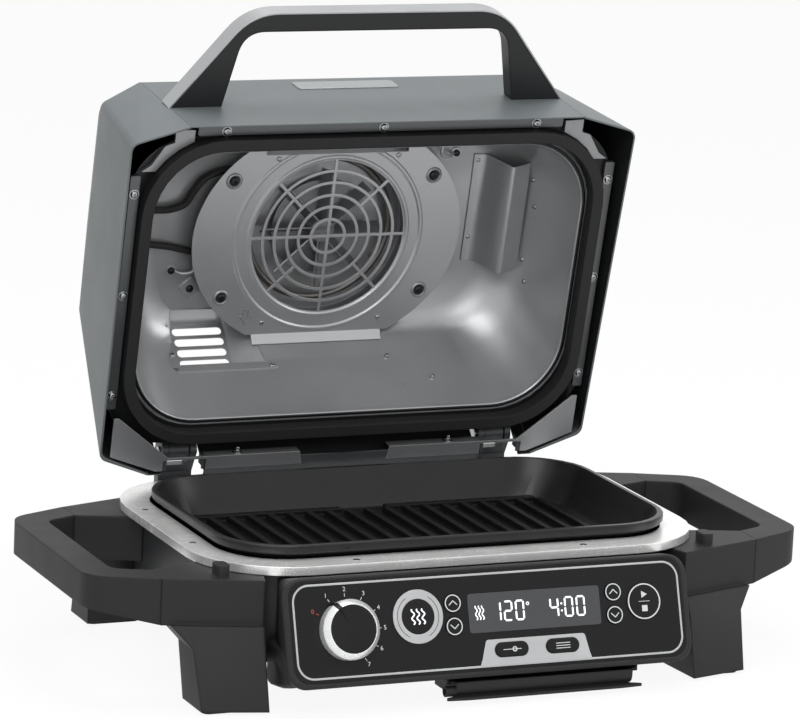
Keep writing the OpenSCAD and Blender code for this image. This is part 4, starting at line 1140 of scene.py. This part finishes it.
    def on_side(self, s: float, depth: float, spin: float = 0.0) -> Matrix:
        """Place on the bowl's right wall, its z out of the wall."""
        inset, lean = self.wall(depth, 1)
        return LID.place(self.mouth[0] - inset, s, -depth, lean=lean - 90.0, spin=spin)

    def screws(self) -> None:
        """Cross-head screws on the strips, and dark ones in bright dished seats on the fan cover."""
        bm = bmesh.new()
        spots = [(x, self.strip_s) for x in self.strip_x]
        spots += [(side * self.side_x, s) for side in (-1, 1) for s in self.side_s]
        for k, (x, s) in enumerate(spots):
            add_screw(bm, *self.strip_head, LID.place(x, s, -self.strip_d, spin=23.0 * k))
            add_hoop(bm, *self.strip_washer, LID.place(x, s, -self.strip_d), 24)
        put_on("lid_cross_screws", bm, "lid", "screw_steel", ("lid_screws",))
        heads, seats = bmesh.new(), bmesh.new()
        for k, (x, y) in enumerate(((-1, -1), (-1, 1), (1, -1), (1, 1))):
            spot = (x * self.cover_screw[0], self.fan_s + y * self.cover_screw[1])
            add_screw(heads, *self.cover_head, LID.place(*spot, -self.cover_d, spin=31.0 * k))
            add_lathe(seats, self.cover_seat, LID.place(*spot, -self.cover_d), 40)
        put_on("cover_screw_heads", heads, "lid", "screw_steel", finish=DARK_SCREW)
        put_on("cover_screw_seats", seats, "lid", "light_plate")

    def rivets(self) -> None:
        """Small fixings of the fan cover, the smoke baffle and the vent, and studs on the rear wall."""
        bm = bmesh.new()
        for x, s in self.cover_rivets:
            add_screw(bm, *self.cover_rivet, LID.place(x, s, -self.cover_d, spin=x))
        for x, s in self.flange_rivets:
            add_screw(bm, *self.flange_rivet, LID.place(x, s, -self.flange_d, spin=s))
        for s, depth in self.side_rivets:
            add_screw(bm, *self.side_rivet, self.on_side(s, depth, spin=s))
        for x, depth in self.rear_studs:
            add_screw(bm, *self.rear_stud, self.on_rear(x, depth))
        for x, depth in self.vent_screws:
            add_screw(bm, *self.vent_screw, self.on_rear(x, depth, self.vent_t, spin=depth))
        put_on("liner_fixings", bm, "lid", "screw_steel")

    def vent_flange(self) -> None:
        """Edge of the vent's tray that lies on the liner, down its left side and along its foot."""
        bm = bmesh.new()
        for left, right, depths in self.vent_edges:
            rings = []
            for depth in depths:
                cut = self.vent_cut if depth == depths[0] else 0.0
                near = self.on_rear(0.0, depth)
                rings.append([bm.verts.new(near @ Vector((x, 0.0, z))) for x, z in (
                    (left + cut, 0.0), (left + cut, self.vent_t), (right - cut, self.vent_t), (right - cut, 0.0))])
            cap_rings(bm, rings)
        put_on("vent_flange", bm, "lid", "liner_metal")

    def rolled_lip(self) -> None:
        """Rolled edge round the liner's mouth."""
        bm = bmesh.new()
        half_x, low, high = self.mouth
        middle = (low + high) / 2
        outline = rounded_box(half_x - self.lip_r, (high - low) / 2 - self.lip_r, self.mouth_r, 14)
        path = [LID.point(x, y + middle, -self.deck_d - self.lip_r * 0.95) for x, y in outline]
        add_tube(bm, path, self.lip_r * MM, 12, True)
        put_on("liner_lip", bm, "lid", "liner_metal")

    def leads(self) -> None:
        """Two sleeved leads that cross the ceiling and run under the fan cover."""
        for name, way in (("lead_upper", self.lead_upper), ("lead_lower", self.lead_lower)):
            bm = bmesh.new()
            add_tube(bm, smooth_path([LID.point(x, s, -d) for x, s, d in way], 8), self.lead_r * MM)
            put_on(name, bm, "lid", "seal", finish=SLEEVE)

    def probes(self) -> None:
        """Two thin probes, each clamped by a looped tab and a screw, and a square tab."""
        bm, heads = bmesh.new(), bmesh.new()
        for side, (x, s), reach in self.probe_spots:
            place = LID.place(x, s, -self.ceiling_d)
            add_hoop(bm, *self.probe_loop, place, 28)
            add_screw(heads, 3.6, 3.2, LID.place(x, s, -self.ceiling_d + 1.0, spin=17.0))
            way = [LID.point(x + side * 3.5, s, -self.ceiling_d + 2.2), LID.point(x + reach * 0.5, s - 1.2, -122.0),
                   LID.point(x + reach, s + 1.0, -121.0), LID.point(x + reach, s + 10.0, -121.0)]
            add_tube(bm, smooth_path(way), self.probe_r * MM, 10)
        tab = LID.place(*self.tab_at, -self.ceiling_d, spin=38.0)
        add_prism(bm, rounded_box(self.tab_half, self.tab_half, 1.2, 2), 0.0, 1.4, tab)
        add_screw(heads, 3.8, 3.2, LID.place(*self.tab_at, -self.ceiling_d + 1.2))
        put_on("lid_probes", bm, "lid", "liner_metal")
        put_on("lid_probe_screws", heads, "lid", "screw_steel", finish=DARK_SCREW)

    def arrow(self) -> None:
        """Pressed outline of an arrow that shows how the fan cover goes on."""
        bm = bmesh.new()
        add_prism(bm, pen_line(self.arrow_line, 1.0), -0.1, 0.45, LID.place(*self.arrow_at, -self.cover_d))
        put_on("cover_arrow", bm, "lid", "light_plate")

    def baffle(self) -> None:
        """Folded sheet over the smoke outlet, its bends rounded."""
        bm = bmesh.new()
        path = smooth_path([Vector((x, -d, 0)) for x, d in self.baffle_bends], 4)
        outline = pen_line([(p.x, p.y) for p in path], self.baffle_t)
        low, high = self.baffle_s
        add_prism(bm, outline, low - high, 0.0, LID.place(0, low, 0, turn=90.0))
        put_on("baffle_sheet", bm, "lid", "liner_metal", ("smoke_baffle",))

    def bracket_lips(self) -> None:
        """Turned-down edges of the rear brackets, short of the hinge ears."""
        bm = bmesh.new()
        for side in (-1, 1):
            for near, far, low, high, depth in self.bracket_plates:
                corners = ((side * near, low), (side * far, low), (side * far, high), (side * near, high))
                add_prism(bm, corners, -depth, -self.bracket_d, LID.place(0, 0))
        sideways = LID.place(0, 0) @ Matrix(((0, 0, 1, 0), (1, 0, 0, 0), (0, 1, 0, 0), (0, 0, 0, 1)))
        add_prism(bm, self.bracket_fold, -self.fold_x, self.fold_x, sideways)
        put_on("bracket_lips", bm, "lid", "bracket_steel")

    def bolts(self) -> None:
        """Two bolts with nuts that stand on the rear brackets."""
        bm = bmesh.new()
        for x in (-self.bolt_x, self.bolt_x):
            place = LID.place(x, self.bolt_s, -self.bolt_d, turn=-90.0)
            turns = [math.radians(60 * k) for k in range(6)]
            hexagon = [(self.nut_r * math.cos(a), self.nut_r * math.sin(a)) for a in turns]
            add_hoop(bm, 1.5, 4.8, -0.1, 0.6, place, 24)
            add_prism(bm, hexagon, 0.5, 3.2, place)
            add_lathe(bm, self.bolt_end, place, 20)
        put_on("bracket_bolts", bm, "lid", "screw_steel")

    def build(self) -> None:
        """Makes everything inside the lid."""
        self.screws()
        self.rivets()
        self.vent_flange()
        self.rolled_lip()
        self.leads()
        self.probes()
        self.arrow()
        self.baffle()
        self.bracket_lips()
        self.bolts()


@dataclass
class LidOutside:
    """Bare plate on the lid's front face."""

    half: float = 52.0
    low: float = 105.0
    high: float = 127.0
    lid_len: float = 342.0
    face_lean: float = 9.0
    face_h: float = 140.0
    corner_r: float = 4.0
    raised: Point = (0.985, 0.93)

    def build(self) -> None:
        """Makes the plate, rounded at its corners."""
        bm = bmesh.new()
        middle = (self.low + self.high) / 2
        tall = (self.high - self.low) / 2
        lean = math.degrees(math.atan(self.face_lean / self.face_h))
        place = LID.place(0, self.lid_len - self.face_lean * middle / self.face_h, -middle, turn=-90 - lean)
        outline = rounded_box(self.half, tall, self.corner_r)
        add_prism(bm, outline, 0.05, 0.7, place)
        add_prism(bm, [(x * self.raised[0], y * self.raised[1]) for x, y in outline], 0.6, 1.0, place)
        put_on("face_plate", bm, "lid", "band", finish=BARE_PLATE)


@dataclass
class LidHandle:
    """Handle of the lid: a dark grip with a bright strap over its outer edge."""

    arms: Tuple[Point, ...] = ((-201.0, 337.6), (-128.0, 429.5), (128.0, 429.5), (201.0, 337.6))
    grip: Tuple[Point, ...] = ((149.0, 337.6), (134.0, 411.5), (-134.0, 411.5), (-149.0, 337.6))
    bend: Tuple[float, float] = (27.0, 21.0)
    depth: Tuple[float, float] = (58.0, 76.0)
    strap_t: float = 1.5
    strap_out: float = 0.8
    bend_steps: int = 10

    def bent(self, corners: Sequence[Point], cut: float) -> List[Point]:
        """Path through some corners, each rounded off.

        Args:
            corners: The corners and both ends.
            cut: How far from a corner its bend starts.

        Returns:
            The path.
        """
        path = [corners[0]]
        for before, here, after in zip(corners, corners[1:], corners[2:]):
            spot = Vector(here)
            start = spot + (Vector(before) - spot).normalized() * cut
            end = spot + (Vector(after) - spot).normalized() * cut
            for k in range(self.bend_steps + 1):
                t = k / self.bend_steps
                path.append(tuple(start * (1 - t) ** 2 + spot * (2 * t * (1 - t)) + end * t ** 2))
        return path + [corners[-1]]

    def build(self) -> None:
        """Makes the grip and the strap."""
        near, far = self.depth
        outer = self.bent(self.arms, self.bend[0])
        bm = bmesh.new()
        add_prism(bm, outer + self.bent(self.grip, self.bend[1]), -far, -near, LID.place(0, 0))
        put_on("handle_grip", bm, "lid", "handle_black", ("lid_handle",))
        bm = bmesh.new()
        add_prism(bm, pen_line(outer, self.strap_t), -far - self.strap_out, -near + self.strap_out, LID.place(0, 0))
        put_on("handle_strap", bm, "lid", "band", ("handle_band",))


@dataclass
class RingTrim:
    """Flush screws of the stainless ring."""

    spots: Tuple[Point, ...] = ((-113.0, -153.0), (113.0, -153.0), (-236.0, -62.0), (236.0, -62.0),
                                (-236.0, 62.0), (236.0, 62.0))
    head: Point = (3.4, 0.24)

    def build(self) -> None:
        """Makes the screws."""
        bm = bmesh.new()
        for k, (x, y) in enumerate(self.spots):
            add_screw(bm, *self.head, RING_TOP.place(x, y, 0.0, spin=29.0 * k))
        put_on("ring_screws", bm, "base", "screw_steel")


@dataclass
class HousingCheeks:
    """Rounded sides that close the panel's housing down to its back edge."""

    steps: Tuple[Tuple[float, float], ...] = ((187.0, 1.0), (194.0, 0.97), (197.4, 0.91), (198.8, 0.82))
    middle: Point = (-243.0, 40.0)
    side: Tuple[Point, ...] = ((-256.0, 58.0), (-264.5, 36.0), (-265.5, 29.0), (-261.0, 24.0), (-250.0, 20.5),
                               (-226.0, 17.0), (-219.0, 18.0), (-215.0, 22.0), (-215.0, 58.0))

    def build(self) -> None:
        """Makes both sides."""
        bm = bmesh.new()
        for hand in (-1, 1):
            rings = []
            for x, share in self.steps:
                spots = [Vector((hand * x, self.middle[0] + (y - self.middle[0]) * share,
                                 self.middle[1] + (z - self.middle[1]) * share)) for y, z in self.side]
                rings.append([bm.verts.new(spot * MM) for spot in spots])
            cap_rings(bm, rings)
        put_on("housing_cheeks", bm, "base", "leg_plastic")


@dataclass
class Studio:
    """Camera, lamps, floor and white surroundings."""

    camera_at: Spot = (-1.7247, -3.9219, 1.1872)
    azimuth: float = -24.176
    elevation: float = 12.226
    roll: float = 2.693
    lens: float = 209.3
    sensor: float = 36.0
    shift: Point = (-0.0254, 0.0004)
    ambient: float = 0.55
    # Name, place and size in metres, and power in watts
    lamps: Tuple[Tuple[str, Spot, float, float], ...] = (
        ("key_lamp", (-1.2, -1.7, 2.3), 1.4, 23.0), ("top_lamp", (0.2, 0.2, 2.4), 1.6, 36.0),
        ("front_lamp", (-0.6, -3.2, 0.9), 1.6, 13.0), ("side_lamp", (2.0, -1.2, 1.2), 1.2, 12.0))
    aim: Spot = (0.0, 0.0, 0.25)
    floor_half: float = 6.0
    floor_tones: Tuple[str, str] = ("#e9e9e8", "#f1f1f0")
    floor_white: float = 0.92

    def camera(self) -> None:
        """Sets the camera at the photograph's angle."""
        az, el, roll = (math.radians(v) for v in (self.azimuth, self.elevation, self.roll))
        back = Vector((math.sin(az) * math.cos(el), -math.cos(az) * math.cos(el), math.sin(el)))
        right = Vector((math.cos(az), math.sin(az), 0.0))
        up = back.cross(right)
        across = right * math.cos(roll) + up * math.sin(roll)
        upright = up * math.cos(roll) - right * math.sin(roll)
        lens = bpy.data.cameras.new("studio_camera")
        lens.sensor_width = self.sensor
        lens.lens = self.lens
        lens.shift_x, lens.shift_y = self.shift
        holder = bpy.data.objects.new("studio_camera", lens)
        pose = Matrix((across, upright, back)).transposed().to_4x4()
        pose.translation = Vector(self.camera_at)
        holder.matrix_world = pose
        bpy.context.scene.collection.objects.link(holder)
        bpy.context.scene.camera = holder

    def lamp(self, name: str, at: Sequence[float], size: float, power: float) -> None:
        """Adds a soft lamp that looks at the middle of the part.

        Args:
            name: Name of the lamp.
            at: Its place in metres.
            size: Its side in metres.
            power: Its power in watts.
        """
        light = bpy.data.lights.new(name, "AREA")
        light.shape = "SQUARE"
        light.size = size
        light.energy = power
        holder = bpy.data.objects.new(name, light)
        aim = Vector(self.aim) - Vector(at)
        holder.matrix_world = Matrix.Translation(Vector(at)) @ aim.to_track_quat("-Z", "Y").to_matrix().to_4x4()
        bpy.context.scene.collection.objects.link(holder)

    def floor(self) -> None:
        """Pale floor that keeps the part's shadow and is white to the camera."""
        bm = bmesh.new()
        bmesh.ops.create_grid(bm, x_segments=24, y_segments=24, size=self.floor_half)
        mesh = bpy.data.meshes.new("studio_floor")
        bm.to_mesh(mesh)
        bm.free()
        shader = Shader("studio_floor")
        pale = shader.blend(*(srgb(tone) for tone in self.floor_tones), shader.noise(400.0))
        matte = shader.node("ShaderNodeBsdfDiffuse", {}, {"Color": pale})
        white = shader.node("ShaderNodeEmission", {}, {"Color": (1, 1, 1, 1), "Strength": 1.0})
        mixed = shader.node("ShaderNodeMixShader", {}, {0: shader.white_rays() * self.floor_white,
                                                        1: matte.outputs[0], 2: white.outputs[0]})
        shader.node("ShaderNodeOutputMaterial", {}, {"Surface": mixed.outputs[0]})
        mesh.materials.append(shader.material)
        ground = bpy.data.objects.new("studio_floor", mesh)
        bpy.context.scene.collection.objects.link(ground)

    def surroundings(self) -> None:
        """White surroundings that light the part at a plain level."""
        world = bpy.data.worlds.new("studio_world")
        world.use_nodes = True
        bpy.context.scene.world = world
        nodes = Nodes(world.node_tree)
        dim = nodes.node("ShaderNodeBackground", {}, {"Color": (1, 1, 1, 1), "Strength": self.ambient})
        white = nodes.node("ShaderNodeBackground", {}, {"Color": (1, 1, 1, 1), "Strength": 1.0})
        mixed = nodes.node("ShaderNodeMixShader", {}, {0: nodes.white_rays(), 1: dim.outputs[0], 2: white.outputs[0]})
        nodes.node("ShaderNodeOutputWorld", {}, {"Surface": mixed.outputs[0]})

    def build(self) -> None:
        """Sets up the whole studio."""
        self.camera()
        for lamp in self.lamps:
            self.lamp(*lamp)
        self.floor()
        self.surroundings()
        bpy.context.scene.view_settings.view_transform = "Standard"


def main() -> None:
    """Builds the studio and every dressed sub-assembly."""
    logging.basicConfig(level=logging.INFO, format="%(name)s: %(message)s")
    for assembly in (Studio(), ControlPanel(), LidInside(), LidOutside(), LidHandle(), RingTrim(), HousingCheeks()):
        LOG.info("building %s", type(assembly).__name__)
        assembly.build()
    SolidSkins().dress()


if __name__ == "__main__":
    main()
